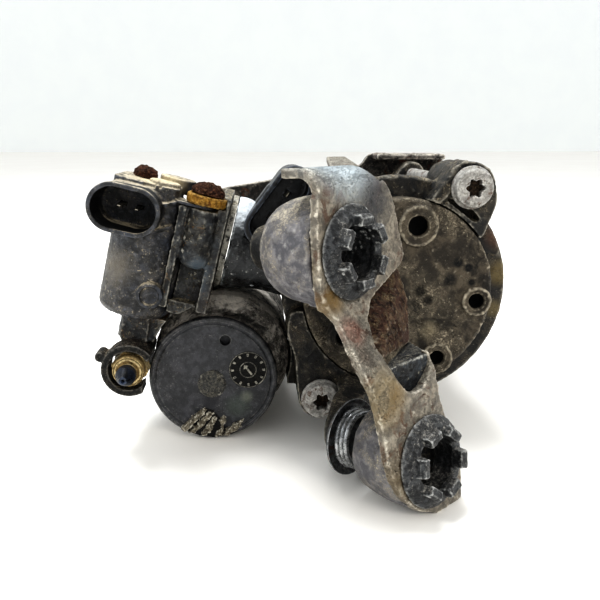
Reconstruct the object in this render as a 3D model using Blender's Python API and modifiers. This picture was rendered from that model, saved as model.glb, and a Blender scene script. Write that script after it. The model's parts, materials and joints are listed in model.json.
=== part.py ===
"""Air-suspension (level control) compressor.

The origin is on the crank axis, at the front face of the crank cover.
+X is to the right, +Y runs back along the motor and +Z is up.
Lengths below are in millimetres and are turned to metres by MM.
"""

import math

import bmesh
import bpy
from mathutils import Matrix, Vector

MM = 0.001

# ---- driving dimensions (mm) ------------------------------------------------
ROLL = math.radians(14.5)          # the valve and dryer group is rolled about the crank axis

COVER_R = 35.0
COVER_THICK = 6.7
FLANGE_R = 42.5
FLANGE_Y = (7.0, 12.0)
CASE_R = 39.5
CASE_BACK_Y = 46.0
CASE_BORE_R = 34.5

CRANK_Y = 27.0                     # plane of the cylinder
THROW = 3.0                        # crank pin offset, half the stroke
PISTON_R = 10.2
BORE_R = 13.3
BARREL_R = 16.5
BARREL_FLANGE_R = 18.0
BARREL_END = 64.0                  # from the crank axis to the valve plate

MOTOR_R = 38.0
MOTOR_Y = (46.4, 84.0)
REAR_Y = (84.4, 98.0)
SHAFT_R = 4.0
FLOOR_Z = -59.2                    # what it rests on: the bracket's lower edge, the rear foot and the dryer cap
GAP = 0.35                         # between pieces that touch

BOLT_UPPER = (24.4, 38.5)          # x, z
BOLT_LOWER = (-28.2, -39.9)
BOLT_HEAD_R = 7.6
BOLT_SHANK_R = 3.0
REAR_LUG_R = 6.0
BOLT_END_Y = 91.0

DRYER_CAP = (-69.0, -34.5)         # x, z of the cap's axis
DRYER_CAP_R = 24.6
DRYER_CAP_Y = 8.0
DRYER_BODY = (-66.0, -30.0)
DRYER_BODY_R = 27.0
DRYER_BODY_Y = (20.0, 96.0)

SOLENOID_U, SOLENOID_Y = -93.0, 10.0
SOLENOID_R = 13.0
CONNECTOR_U, CONNECTOR_W = -99.3, 8.4
SCREW = (-75.0, 2.6)               # u, y of the large screw and its column
SCREW_SMALL = (-98.7, 14.0)
OUTLET = (-89.1, -50.7)            # u, w of the outlet fitting

MC = (-43.5, 32.0)                 # x, z of the motor connector's middle
MC_TILT = math.radians(52.4)
MC_ACROSS = (math.cos(MC_TILT), 0, math.sin(MC_TILT))

UPPER_SEAT = Vector((-23.3, -35.1, 22.2))
UPPER_NORMAL = Vector((0.7053, -0.7053, 0.0705)).normalized()
LOWER_SEAT = Vector((1.0, -46.2, -41.8))
LOWER_NORMAL = Vector((0.60, -0.775, 0.20)).normalized()
LOWER_SPRING_SEAT = Vector((2.1, -46.2, -41.8))
LOWER_SPRING = Vector((0.683, -0.726, 0.089)).normalized()
PLATE = 3.0                        # bracket sheet
WASHER_R = 14.5
FLOAT = 2.0                        # travel of the bracket each way

LARGE = 32                         # segments of the largest turned pieces
ROUND = 24
SMALL = 12

# ---- scene ------------------------------------------------------------------
for old in list(bpy.data.objects):
    bpy.data.objects.remove(old, do_unlink=True)

PARTS = bpy.data.collections.new("air_suspension_compressor")
CUTTERS = bpy.data.collections.new("cutters")
bpy.context.scene.collection.children.link(PARTS)
bpy.context.scene.collection.children.link(CUTTERS)
CUTTERS.hide_render = True


def material(name, colour, roughness, metallic=0.0):
    made = bpy.data.materials.new(name)
    made.use_nodes = True
    shader = made.node_tree.nodes["Principled BSDF"]
    shader.inputs["Base Color"].default_value = (*colour, 1.0)
    shader.inputs["Roughness"].default_value = roughness
    shader.inputs["Metallic"].default_value = metallic
    return made


LOOKS = {
    "casting": ((0.10, 0.10, 0.09), 0.7, 0.0),
    "aluminium": ((0.55, 0.55, 0.54), 0.4, 1.0),
    "plastic": ((0.03, 0.03, 0.035), 0.5, 0.0),
    "rubber": ((0.16, 0.16, 0.16), 0.85, 0.0),
    "steel": ((0.45, 0.45, 0.44), 0.35, 1.0),
    "rusty_steel": ((0.30, 0.21, 0.15), 0.85, 0.0),
    "brass": ((0.65, 0.50, 0.25), 0.4, 1.0),
    "copper": ((0.70, 0.35, 0.20), 0.4, 1.0),
    "carbon": ((0.04, 0.04, 0.04), 0.6, 0.0),
    "ferrite": ((0.12, 0.12, 0.13), 0.6, 0.0),
    "desiccant": ((0.75, 0.72, 0.66), 0.9, 0.0),
}


# ---- frames -----------------------------------------------------------------
def turn_to(axis, across=None):
    """Rotation whose Z is axis and whose X is as near across as it can be."""
    z = Vector(axis).normalized()
    if across is None:
        across = (1, 0, 0) if abs(z.x) < 0.9 else (0, 1, 0)
    x = (Vector(across) - z * z.dot(Vector(across))).normalized()
    y = z.cross(x)
    return Matrix((x, y, z)).transposed().to_4x4()


def frame(name, at, rotation):
    """An empty that pieces are placed under."""
    made = bpy.data.objects.new(name, None)
    made.empty_display_size = 0.01
    made.matrix_world = Matrix.Translation(Vector(at) * MM) @ rotation
    PARTS.objects.link(made)
    return made


IDENTITY = Matrix.Identity(4)
HEAD = frame("head_frame", (0, 0, 0), Matrix.Rotation(ROLL, 4, "Y"))
SEAT_U = frame("upper_seat_frame", UPPER_SEAT, turn_to(UPPER_NORMAL, (1, 1, 0)))
SEAT_L = frame("lower_seat_frame", LOWER_SEAT, turn_to(LOWER_NORMAL, (0.775, 0.60, 0)))
SPRING_L = frame("lower_spring_frame", LOWER_SPRING_SEAT, turn_to(LOWER_SPRING, (1, 1, 0)))
TURN = Matrix.Rotation(ROLL, 4, "Y")
ROTOR = frame("rotor_frame", (0, CRANK_Y, 0), TURN)
PIN = frame("crank_pin_frame", TURN @ Vector((-THROW, CRANK_Y, 0)), TURN)
bpy.context.view_layer.update()


def settle(obj, parent=None, at=(0, 0, 0), axis=(0, 0, 1), across=None, cutter=False):
    """Places an object made around its own origin, with its length along its own Z."""
    (CUTTERS if cutter else PARTS).objects.link(obj)
    local = Matrix.Translation(Vector(at) * MM) @ turn_to(axis, across)
    if parent is not None:
        obj.parent = parent
        if parent in (ROTOR, PIN):
            local = parent.matrix_world.inverted() @ HEAD.matrix_world @ local
    obj.matrix_local = local
    if cutter:
        obj.hide_render = True
        obj.display_type = "WIRE"
    return obj


def finish(obj, look):
    colour, roughness, metallic = LOOKS[look]
    obj.data.materials.clear()
    obj.data.materials.append(material(obj.name + "_" + look, colour, roughness, metallic))
    return obj


# ---- shapes -----------------------------------------------------------------
def from_bmesh(name, bm, **where):
    bmesh.ops.scale(bm, vec=(MM, MM, MM), verts=bm.verts)
    bmesh.ops.recalc_face_normals(bm, faces=bm.faces)
    mesh = bpy.data.meshes.new(name)
    bm.to_mesh(mesh)
    bm.free()
    return settle(bpy.data.objects.new(name, mesh), **where)


def cylinder(name, radius, length, top_radius=None, segments=ROUND, **where):
    """Stands on its own origin and goes up its own Z."""
    bm = bmesh.new()
    bmesh.ops.create_cone(
        bm, cap_ends=True, segments=segments, radius1=radius,
        radius2=radius if top_radius is None else top_radius, depth=length,
    )
    bmesh.ops.translate(bm, vec=(0, 0, length / 2), verts=bm.verts)
    made = from_bmesh(name, bm, **where)
    made.data.shade_smooth()
    made.data.set_sharp_from_angle(angle=math.radians(35))
    return made


def box(name, low, high, bevel=0.0, **where):
    """From its low corner to its high corner, in the frame that it is placed in."""
    bm = bmesh.new()
    bmesh.ops.create_cube(bm, size=1)
    size = [h - l for l, h in zip(low, high)]
    bmesh.ops.scale(bm, vec=size, verts=bm.verts)
    bmesh.ops.translate(bm, vec=[(h + l) / 2 for l, h in zip(low, high)], verts=bm.verts)
    made = from_bmesh(name, bm, **where)
    if bevel:
        rounding = made.modifiers.new("rounding", "BEVEL")
        rounding.width = bevel * MM
        rounding.segments = 2
        rounding.limit_method = "ANGLE"
    return made


def hull(name, points, **where):
    bm = bmesh.new()
    for point in points:
        bm.verts.new(point)
    result = bmesh.ops.convex_hull(bm, input=bm.verts)
    spare = [v for v in result["geom_interior"] if isinstance(v, bmesh.types.BMVert)]
    bmesh.ops.delete(bm, geom=spare, context="VERTS")
    return from_bmesh(name, bm, **where)


def turned(name, profile, closed=True, steps=ROUND, **where):
    """Turned about its own Z. profile is (radius, height); an open one starts and ends on the axis."""
    area = sum(
        a[0] * b[1] - b[0] * a[1] for a, b in zip(profile, profile[1:] + profile[:1])
    )
    if area > 0:  # the outer side has to run down
        profile = profile[::-1]
    mesh = bpy.data.meshes.new(name)
    count = len(profile)
    edges = [(i, i + 1) for i in range(count - 1)] + ([(count - 1, 0)] if closed else [])
    mesh.from_pydata([(r * MM, 0, h * MM) for r, h in profile], edges, [])
    made = settle(bpy.data.objects.new(name, mesh), **where)
    screw = made.modifiers.new("turn", "SCREW")
    screw.axis = "Z"
    screw.steps = screw.render_steps = steps
    screw.use_merge_vertices = True
    screw.merge_threshold = 0.000005
    screw.use_smooth_shade = True
    return made


def plate(name, outline, low, high, holes=(), **where):
    """A flat outline in its own XY plane, from height low to height high."""
    curve = bpy.data.curves.new(name, "CURVE")
    curve.dimensions = "2D"
    curve.fill_mode = "BOTH"
    curve.extrude = (high - low) / 2 * MM
    for ring in (outline, *holes):
        spline = curve.splines.new("POLY")
        spline.points.add(len(ring) - 1)
        for point, (x, y) in zip(spline.points, ring):
            point.co = (x * MM, y * MM, 0, 1)
        spline.use_cyclic_u = True
    drawn = bpy.data.objects.new(name + "_outline", curve)
    bpy.context.scene.collection.objects.link(drawn)
    graph = bpy.context.evaluated_depsgraph_get()
    mesh = bpy.data.meshes.new_from_object(drawn.evaluated_get(graph))
    bpy.data.objects.remove(drawn, do_unlink=True)
    bm = bmesh.new()
    bm.from_mesh(mesh)
    bmesh.ops.remove_doubles(bm, verts=bm.verts, dist=0.000005)
    bmesh.ops.translate(bm, vec=(0, 0, (high + low) / 2 * MM), verts=bm.verts)
    bmesh.ops.recalc_face_normals(bm, faces=bm.faces)
    bm.to_mesh(mesh)
    bm.free()
    mesh.name = name
    return settle(bpy.data.objects.new(name, mesh), **where)


def ring_points(radius, count=24, centre=(0, 0), start=0.0, end=2 * math.pi):
    whole = abs(end - start - 2 * math.pi) < 1e-9
    steps = count if whole else count - 1
    return [
        (centre[0] + radius * math.cos(start + (end - start) * i / steps),
         centre[1] + radius * math.sin(start + (end - start) * i / steps))
        for i in range(count)
    ]


def stadium(half_length, radius, count=9):
    """Outline of a slot: two half circles, their centres half_length from the middle."""
    right = ring_points(radius, count, (half_length, 0), -math.pi / 2, math.pi / 2)
    left = ring_points(radius, count, (-half_length, 0), math.pi / 2, 3 * math.pi / 2)
    return right + left


def lobed(radius, depth, count=24):
    """Outline of a six-lobed socket."""
    return [
        ((radius + depth * math.cos(6 * a)) * math.cos(a),
         (radius + depth * math.cos(6 * a)) * math.sin(a))
        for a in (2 * math.pi * i / count for i in range(count))
    ]


def coil(name, radius, wire, height, turns, end_radius=None, **where):
    """A spring that stands on its own origin, with a turn closed at each end."""
    per_turn = 10
    count = int(turns * per_turn) + 1
    end_radius = radius if end_radius is None else end_radius
    curve = bpy.data.curves.new(name, "CURVE")
    curve.dimensions = "3D"
    curve.bevel_depth = wire / 2 * MM
    curve.bevel_resolution = 1
    curve.use_fill_caps = True
    spline = curve.splines.new("POLY")
    spline.points.add(count - 1)
    closed = 1.0
    pitch = (height - wire * (1 + 2 * closed * 1.02)) / (turns - 2 * closed)
    for i, point in enumerate(spline.points):
        t = i / per_turn
        low = min(t, closed) * wire * 1.02
        middle = max(0.0, min(t, turns - closed) - closed) * pitch
        high = max(0.0, t - (turns - closed)) * wire * 1.02
        z = wire / 2 + low + middle + high
        r = radius + (end_radius - radius) * t / turns
        point.co = (
            r * math.cos(2 * math.pi * t) * MM, r * math.sin(2 * math.pi * t) * MM, z * MM, 1,
        )
    return settle(bpy.data.objects.new(name, curve), **where)


def tube(name, points, radius, resolution=2, **where):
    curve = bpy.data.curves.new(name, "CURVE")
    curve.dimensions = "3D"
    curve.bevel_depth = radius * MM
    curve.bevel_resolution = resolution
    curve.use_fill_caps = True
    spline = curve.splines.new("POLY")
    spline.points.add(len(points) - 1)
    for point, (x, y, z) in zip(spline.points, points):
        point.co = (x * MM, y * MM, z * MM, 1)
    return settle(bpy.data.objects.new(name, curve), **where)


def combine(obj, operation, *others):
    for other in others:
        step = obj.modifiers.new(other.name, "BOOLEAN")
        step.operation = operation
        step.object = other
        step.solver = "EXACT"
    return obj


def join(obj, *others):
    return combine(obj, "UNION", *others)


def cut(obj, *others):
    return combine(obj, "DIFFERENCE", *others)


BACK = (0, 1, 0)
FRONT = (0, -1, 0)
LEFT = (-1, 0, 0)
FACING = dict(axis=BACK, across=(1, 0, 0))   # own X is +X, own Y is -Z, own Z is +Y


def xz(points):
    """Outline given as (x, z) for a plate placed with FACING."""
    return [(x, -z) for x, z in points]


# ---- crankcase --------------------------------------------------------------
crankcase = turned(
    "crankcase",
    [
        (FLANGE_R, FLANGE_Y[0]), (FLANGE_R, FLANGE_Y[1]), (CASE_R, 13.5), (CASE_R, CASE_BACK_Y),
        (11 + GAP, CASE_BACK_Y), (11 + GAP, 38.5), (CASE_BORE_R, 38.5), (CASE_BORE_R, FLANGE_Y[0]),
    ],
    steps=LARGE, axis=BACK,
)
lug_upper = plate(
    "lug_upper",
    xz([(9, 34), (12.5, 34.5), (19.5, 45), (23, 47.4), (27.5, 47), (31.5, 44.5), (33.4, 40),
        (34.5, 33), (30, 20), (20, 20), (10, 26)]),
    0.0, 11.5, cutter=True, **FACING,
)
lug_lower = plate(
    "lug_lower",
    xz([(-40, -6), (-41, -14), (-38, -24), (-37, -38), (-36.4, -43), (-33, -47.5), (-28, -48.6),
        (-23, -47), (-19, -42), (-14, -38), (-8, -33), (-8, -20), (-30, -6)]),
    0.5, 11.5, cutter=True, **FACING,
)
pocket_upper = plate(
    "pocket_upper", xz([(15, 34.6), (17.5, 33), (26.5, 26), (29, 27), (25, 31), (18, 34.5)]),
    -5, 4.5, cutter=True, **FACING,
)
boss_upper = cylinder("boss_upper", 8.6, 30, segments=16, cutter=True,
                      at=(BOLT_UPPER[0], 0, BOLT_UPPER[1]), axis=BACK)
boss_lower = cylinder("boss_lower", 8.6, 26, segments=16, cutter=True,
                      at=(BOLT_LOWER[0], 0.5, BOLT_LOWER[1]), axis=BACK)
rib_upper = hull(
    "rib_upper",
    [(x, y, z) for x, z in ((9, 33), (12, 31), (19, 46), (22.5, 43.5)) for y in (-0.2, 12.2)],
    cutter=True,
)
# the arm that carries the upper isolator's dish, from the flange to the back of the dish
UPPER_TURN = turn_to(UPPER_NORMAL, (1, 1, 0))
arm_upper = hull(
    "arm_upper",
    [tuple(UPPER_SEAT + UPPER_TURN @ Vector((t, k, s))) for t, k in ring_points(7.5, 12) for s in (-36, -30.7)]
    + [(x, y, z) for x, z in ((-41, 3), (-30, 2), (-36, 20), (-26, 28)) for y in (8, 16)],
    cutter=True,
)
LOWER_TURN = turn_to(LOWER_SPRING, (1, 1, 0))
arm_lower = hull(
    "arm_lower",
    [tuple(LOWER_SPRING_SEAT + LOWER_TURN @ Vector((t, k + 1.5, s))) for t, k in ring_points(8.5, 12) for s in (-37.5, -34.6)]
    + [(x, y, z) for x, z in ((-19, -37), (-17, -29), (2, -41), (2, -34)) for y in (7.6, 15)],
    cutter=True,
)
web_dryer = hull(
    "web_dryer",
    [(x, y, z) for y in (20, 34) for x, z in ((-40, -42), (-34, -42), (-40, -8), (-28, -8), (-28, -30))],
    cutter=True,
)
join(crankcase, boss_upper, boss_lower, lug_upper, lug_lower, rib_upper, arm_upper, arm_lower, web_dryer)
cut(
    crankcase,
    cylinder("cover_room", COVER_R + GAP, 16, segments=LARGE, cutter=True, at=(0, -9, 0), axis=BACK),
    cylinder("case_room", CASE_BORE_R, 38.5, segments=LARGE, cutter=True, at=(0, 0, 0), axis=BACK),
    pocket_upper,
    cylinder("bolt_room_upper", BOLT_SHANK_R + GAP, 60, segments=SMALL, cutter=True,
             at=(BOLT_UPPER[0], -10, BOLT_UPPER[1]), axis=BACK),
    cylinder("bolt_room_lower", BOLT_SHANK_R + GAP, 60, segments=SMALL, cutter=True,
             at=(BOLT_LOWER[0], -10, BOLT_LOWER[1]), axis=BACK),
    cylinder("barrel_room", BARREL_R + GAP, 45, parent=HEAD, cutter=True, at=(-25, CRANK_Y, 0), axis=LEFT),
    cylinder("dryer_room", DRYER_BODY_R + GAP, 90, cutter=True,
             at=(DRYER_BODY[0], 10, DRYER_BODY[1]), axis=BACK),
    cylinder("bolt_head_room", BOLT_HEAD_R + 0.7, 9.5, segments=16, cutter=True,
             at=(BOLT_LOWER[0], -9.0, BOLT_LOWER[1]), axis=BACK),
    plate("connector_room", stadium(9.3, 7.0), 0.4, 60.0, cutter=True, at=(MC[0], 0, MC[1]), axis=BACK, across=MC_ACROSS),
)
finish(crankcase, "casting")

# ---- crank cover ------------------------------------------------------------
crank_cover = turned(
    "crank_cover",
    [(0, 0), (COVER_R - 1.2, 0), (COVER_R, 1.2), (COVER_R, COVER_THICK),
     (CASE_BORE_R - GAP, COVER_THICK), (CASE_BORE_R - GAP, 10), (31, 10), (31, COVER_THICK - 1), (0, COVER_THICK - 1)],
    closed=False, steps=LARGE, axis=BACK,
)
BOSSES = (((6.0, 25.0), 7.4, 3.6), ((29.1, -3.0), 5.6, 2.9), ((15.2, -24.9), 6.2, 2.9), ((-20.0, -16.0), 6.2, 2.9))
for number, ((x, z), radius, hole) in enumerate(BOSSES, 1):
    join(crank_cover, cylinder(f"cover_boss_{number}", radius, 5, segments=16, cutter=True, at=(x, -1.6, z), axis=BACK))
for number, ((x, z), radius, hole) in enumerate(BOSSES, 1):
    cut(crank_cover, cylinder(f"cover_hole_{number}", hole, 6.3, segments=SMALL, cutter=True, at=(x, -2.5, z), axis=BACK))
finish(crank_cover, "casting")

# ---- through bolts ----------------------------------------------------------
for name, (x, z), seat in (("through_bolt_upper", BOLT_UPPER, 0.0), ("through_bolt_lower", BOLT_LOWER, 0.5)):
    front = seat - GAP
    bolt = turned(
        name,
        [(0, front - 4.6), (BOLT_HEAD_R - 1.3, front - 4.6), (BOLT_HEAD_R, front - 3.4), (BOLT_HEAD_R, front),
         (BOLT_SHANK_R, front), (BOLT_SHANK_R, BOLT_END_Y - 1), (BOLT_SHANK_R - 1, BOLT_END_Y), (0, BOLT_END_Y)],
        closed=False, steps=SMALL, at=(x, 0, z), axis=BACK,
    )
    cut(bolt, plate(name + "_socket", lobed(2.9, 0.45), front - 6, front - 1.6, cutter=True, at=(x, 0, z), **FACING))
    finish(bolt, "steel")

# ---- cylinder ---------------------------------------------------------------
barrel = turned(
    "cylinder_barrel",
    [(BARREL_R, 30.0), (BARREL_R, 58.5), (BARREL_FLANGE_R, 60.0), (BARREL_FLANGE_R, BARREL_END),
     (BORE_R, BARREL_END), (BORE_R, 30.0)],
    steps=ROUND, parent=HEAD, at=(0, CRANK_Y, 0), axis=LEFT,
)
# the barrel's inner end follows the round of the case, to leave the crank room
cut(barrel, cylinder("barrel_crank_room", CASE_BORE_R, 45, segments=LARGE, cutter=True, at=(0, 5, 0), axis=BACK))
finish(barrel, "casting")

VALVE_U = -BARREL_END - GAP - 2
valve_plate = plate(
    "valve_plate", ring_points(BARREL_FLANGE_R, 24), 0, 2,
    holes=[ring_points(1.8, 8, (0, 7.5)), ring_points(1.8, 8, (-6, -5)), ring_points(1.8, 8, (6, -5))],
    parent=HEAD, at=(-BARREL_END - GAP, CRANK_Y, 0), axis=LEFT, across=(0, 1, 0),
)
finish(valve_plate, "steel")
REED_FRAME = frame("reed_frame", TURN @ Vector((VALVE_U - GAP, CRANK_Y, -2)), TURN)
bpy.context.view_layer.update()
reed = box("discharge_reed", (-0.5, -3, 0), (0, 3, 13), parent=REED_FRAME)
finish(reed, "steel")

# ---- crank train ------------------------------------------------------------
crank = turned(
    "crank",
    [(12, 32.4), (12, 37.6), (SHAFT_R + GAP, 37.6), (SHAFT_R + GAP, 32.4)],
    steps=20, parent=ROTOR, axis=BACK,
)
join(
    crank,
    plate("counterweight", xz(ring_points(27, 12, (0, 0), -math.pi / 2.3, math.pi / 2.3) + ring_points(11, 7, (0, 0), math.pi / 2.3, -math.pi / 2.3)),
          32.5, 37.5, parent=ROTOR, cutter=True, **FACING),
    cylinder("crank_pin", 4, 13, segments=16, parent=ROTOR, cutter=True, at=(-THROW, 20.5, 0), axis=BACK),
)
# the shaft's bore stays open behind the pin
cut(crank, cylinder("crank_bore", SHAFT_R + GAP, 4.4, segments=20, parent=ROTOR, cutter=True, at=(0, 33.6, 0), axis=BACK))
finish(crank, "steel")
crankpin_bearing = turned(
    "crankpin_bearing", [(8, 23.6), (8, 30.4), (4 + GAP, 30.4), (4 + GAP, 23.6)],
    steps=20, parent=PIN, at=(-THROW, 0, 0), axis=BACK,
)
finish(crankpin_bearing, "steel")
piston_rod = turned(
    "piston_rod", [(11.5, 23.6), (11.5, 30.4), (8 + GAP, 30.4), (8 + GAP, 23.6)],
    steps=20, parent=PIN, at=(-THROW, 0, 0), axis=BACK,
)
join(
    piston_rod,
    hull("rod_neck", [(x, y, z) for x, half in ((-13.5, 5.5), (-51, 4)) for y in (CRANK_Y - 3, CRANK_Y + 3) for z in (-half, half)],
         parent=PIN, cutter=True),
    turned("piston_head", [(0, 50), (8.5, 50), (PISTON_R, 52), (PISTON_R, 56), (7, 56), (7, 59.4), (9.4, 59.4), (9.4, 61), (0, 61)],
           closed=False, steps=20, parent=PIN, cutter=True, at=(0, CRANK_Y, 0), axis=LEFT),
)
finish(piston_rod, "aluminium")
piston_seal = turned(
    "piston_seal", [(PISTON_R, 56.3), (PISTON_R, 59.1), (7.3, 59.1), (7.3, 56.3)],
    steps=20, parent=PIN, at=(0, CRANK_Y, 0), axis=LEFT,
)
finish(piston_seal, "carbon")

# ---- bearings, shaft and motor ----------------------------------------------
finish(turned("front_bearing", [(11, 39.0), (11, 45.8), (SHAFT_R + GAP, 45.8), (SHAFT_R + GAP, 39.0)], steps=20, axis=BACK), "steel")
finish(turned("rear_bearing", [(8, 92.0), (8, 96.3), (SHAFT_R + GAP, 96.3), (SHAFT_R + GAP, 92.0)], steps=20, axis=BACK), "brass")
finish(turned("motor_shaft", [(0, 33.9), (SHAFT_R, 33.9), (SHAFT_R, 96.0), (0, 96.0)], closed=False, steps=SMALL, parent=ROTOR, axis=BACK), "steel")
finish(
    turned("armature", [(18, 47.5), (23, 50.5), (28, 50.6), (28, 76.0), (23, 76.1), (18, 79.5), (SHAFT_R + GAP, 79.5), (SHAFT_R + GAP, 47.5)],
           steps=20, parent=ROTOR, axis=BACK),
    "copper",
)
finish(turned("commutator", [(11, 80.0), (11, 88.6), (SHAFT_R + GAP, 88.6), (SHAFT_R + GAP, 80.0)], steps=20, parent=ROTOR, axis=BACK), "copper")
finish(turned("motor_can", [(MOTOR_R, MOTOR_Y[0]), (MOTOR_R, MOTOR_Y[1]), (MOTOR_R - 2, MOTOR_Y[1]), (MOTOR_R - 2, MOTOR_Y[0])], steps=LARGE, axis=BACK), "steel")
for name, middle in (("magnet_left", math.pi), ("magnet_right", 0.0)):
    outer = ring_points(MOTOR_R - 2 - GAP, 13, (0, 0), middle - 1.05, middle + 1.05)
    inner = ring_points(30, 13, (0, 0), middle + 1.05, middle - 1.05)
    finish(plate(name, xz(outer + inner), 49, 78, **FACING), "ferrite")
brush_holder = plate(
    "brush_holder", xz(ring_points(34.8, 24)), 89.2, 91.2, holes=[xz(ring_points(12.5, 16))], **FACING,
)
join(
    brush_holder,
    box("brush_box_left", (-24, 81.2, -6), (-13.5, 89.8, 6), cutter=True),
    box("brush_box_right", (13.5, 81.2, -6), (24, 89.8, 6), cutter=True),
)
cut(
    brush_holder,
    box("brush_way_left", (-26, 82.7, -4.3), (-12, 88.2, 4.3), cutter=True),
    box("brush_way_right", (12, 82.7, -4.3), (26, 88.2, 4.3), cutter=True),
)
finish(brush_holder, "plastic")
for name, side in (("brush_left", -1), ("brush_right", 1)):
    ends = sorted((side * 11.4, side * 21.0))
    finish(box(name, (ends[0], 83.0, -3.95), (ends[1], 87.9, 3.95)), "carbon")

rear_cover = turned(
    "rear_cover",
    [(0, REAR_Y[1]), (MOTOR_R - 2, REAR_Y[1]), (MOTOR_R, REAR_Y[1] - 2), (MOTOR_R, REAR_Y[0]), (MOTOR_R - 2.5, REAR_Y[0]),
     (MOTOR_R - 2.5, 94), (10.5, 94), (10.5, 91.6), (8 + GAP, 91.6), (8 + GAP, 96.7), (0, 96.7)],
    closed=False, steps=LARGE, axis=BACK,
)
for name, (x, z), low in (("rear_lug_upper", BOLT_UPPER, 84.9), ("rear_lug_lower", BOLT_LOWER, 84.9)):
    reach = math.hypot(x, z)
    inward = ((x * 33 / reach), (z * 33 / reach))
    side = (-z / reach * REAR_LUG_R, x / reach * REAR_LUG_R)
    lug = hull(name, [(x + dx, y, z + dz) for y in (low, 95.2) for dx, dz in ring_points(REAR_LUG_R, 12)]
               + [(inward[0] + s * side[0] * 1.3, y, inward[1] + s * side[1] * 1.3) for y in (low, 95.2) for s in (-1, 1)],
               cutter=True)
    join(rear_cover, lug)
cut(
    rear_cover,
    cylinder("rear_room", MOTOR_R - 2.5, 10.5, segments=LARGE, cutter=True, at=(0, 83.5, 0), axis=BACK),
    cylinder("rear_bolt_room_upper", BOLT_SHANK_R + GAP, 10, segments=SMALL, cutter=True, at=(BOLT_UPPER[0], 82, BOLT_UPPER[1]), axis=BACK),
    cylinder("rear_bolt_room_lower", BOLT_SHANK_R + GAP, 10, segments=SMALL, cutter=True, at=(BOLT_LOWER[0], 82, BOLT_LOWER[1]), axis=BACK),
)
finish(rear_cover, "casting")

# ---- motor connector --------------------------------------------------------
motor_connector = plate("motor_connector", stadium(9.3, 6.4), 1.0, 24.0, at=(MC[0], 0, MC[1]), axis=BACK, across=MC_ACROSS)
join(
    motor_connector,
    hull("connector_leg", [(MC[0] + dx * 7, y, MC[1] + dz * 7) for y in (22, 60) for dx, dz in ((1, 0), (0, 1), (-0.6, 0), (0, -0.6))]
         + [(x, y, z) for y in (50, 60) for x, z in ((-33, 24), (-26, 31))], cutter=True),
)
cut(
    motor_connector,
    plate("connector_socket", stadium(8.6, 5.1), -2, 7.6, cutter=True, at=(MC[0], 0, MC[1]), axis=BACK, across=MC_ACROSS),
    cylinder("connector_can_room", MOTOR_R + GAP, 60, segments=LARGE, cutter=True, at=(0, 46.2, 0), axis=BACK),
    cylinder("connector_case_room", CASE_R + 1.2, 46.2, segments=LARGE, cutter=True, at=(0, 0, 0), axis=BACK),
    cylinder("connector_barrel_room", BARREL_FLANGE_R + 0.5, 60, parent=HEAD, cutter=True, at=(-25, CRANK_Y, 0), axis=LEFT),
    box("connector_pin_way_1", (3.6, -1.2, 6), (6.4, 1.2, 9.3), cutter=True, at=(MC[0], 0, MC[1]), axis=BACK, across=MC_ACROSS),
    box("connector_pin_way_2", (-6.4, -1.2, 6), (-3.6, 1.2, 9.3), cutter=True, at=(MC[0], 0, MC[1]), axis=BACK, across=MC_ACROSS),
)
finish(motor_connector, "plastic")
for name, u in (("motor_pin_1", 5.0), ("motor_pin_2", -5.0)):
    finish(box(name, (u - 1.05, -0.4, 2.6), (u + 1.05, 0.4, 8.9), at=(MC[0], 0, MC[1]), axis=BACK, across=MC_ACROSS), "brass")

# ---- cylinder head ----------------------------------------------------------
head = box("cylinder_head", (-82.9, 8, -25.2), (VALVE_U - GAP, 46.6, 14.0), bevel=2, parent=HEAD)
join(
    head,
    box("head_flange", (-70.5, 0.4, -24), (-66.9, 48.3, 18.2), parent=HEAD, cutter=True),
    box("head_block", (-97, 9.4, -42), (-67.6, 43.6, -16), bevel=3, parent=HEAD, cutter=True),
    box("head_rib", (-83.6, -0.5, -24.5), (-81.0, 20.2, 12.7), parent=HEAD, cutter=True),
    box("head_floor", (-82.4, 3.9, -27.2), (-69.1, 12.6, -22.3), parent=HEAD, cutter=True),
    cylinder("screw_column", 5.9, 20.8, segments=16, parent=HEAD, cutter=True, at=(-75.0, 2.6, -8)),
    box("column_web", (-77.9, 3.3, -7.6), (-72.6, 13.1, 12.5), parent=HEAD, cutter=True),
    hull("outlet_arm", [(u, y, w) for u in (-96.3, -86.2) for y in (8.2, 25.1) for w in (-40.6, -31.4)]
         + [(-92.4, y, -50.1) for y in (8.2, 25.1)] + [(-85.7, y, -50.1) for y in (8.2, 25.1)], parent=HEAD, cutter=True),
    cylinder("outlet_boss", 7.2, 19, segments=16, parent=HEAD, cutter=True, at=(OUTLET[0], 7.5, OUTLET[1]), axis=BACK),
)
cut(
    head,
    cylinder("head_dryer_room", DRYER_BODY_R + GAP, 100, segments=LARGE, cutter=True, at=(DRYER_BODY[0], 4, DRYER_BODY[1]), axis=BACK),
    cylinder("head_cap_room", DRYER_CAP_R + 1.0, 40, segments=LARGE, cutter=True, at=(DRYER_CAP[0], -6, DRYER_CAP[1]), axis=BACK),
    cylinder("head_solenoid_room", SOLENOID_R + GAP, 60, segments=ROUND, parent=HEAD, cutter=True, at=(SOLENOID_U, SOLENOID_Y, -32.3)),
    cylinder("head_chamber", 14, 10, segments=20, parent=HEAD, cutter=True, at=(VALVE_U + 1, CRANK_Y, 0), axis=LEFT),
    cylinder("screw_bore", 2.3, 16, segments=SMALL, parent=HEAD, cutter=True, at=(SCREW[0], SCREW[1], 0)),
    cylinder("outlet_bore", 3.3, 12, segments=SMALL, parent=HEAD, cutter=True, at=(OUTLET[0], 5, OUTLET[1]), axis=BACK),
    cylinder("ring_room", 7.35, 10, segments=20, parent=HEAD, cutter=True, at=(SCREW[0], SCREW[1], 14.2)),
)
finish(head, "casting")

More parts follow.
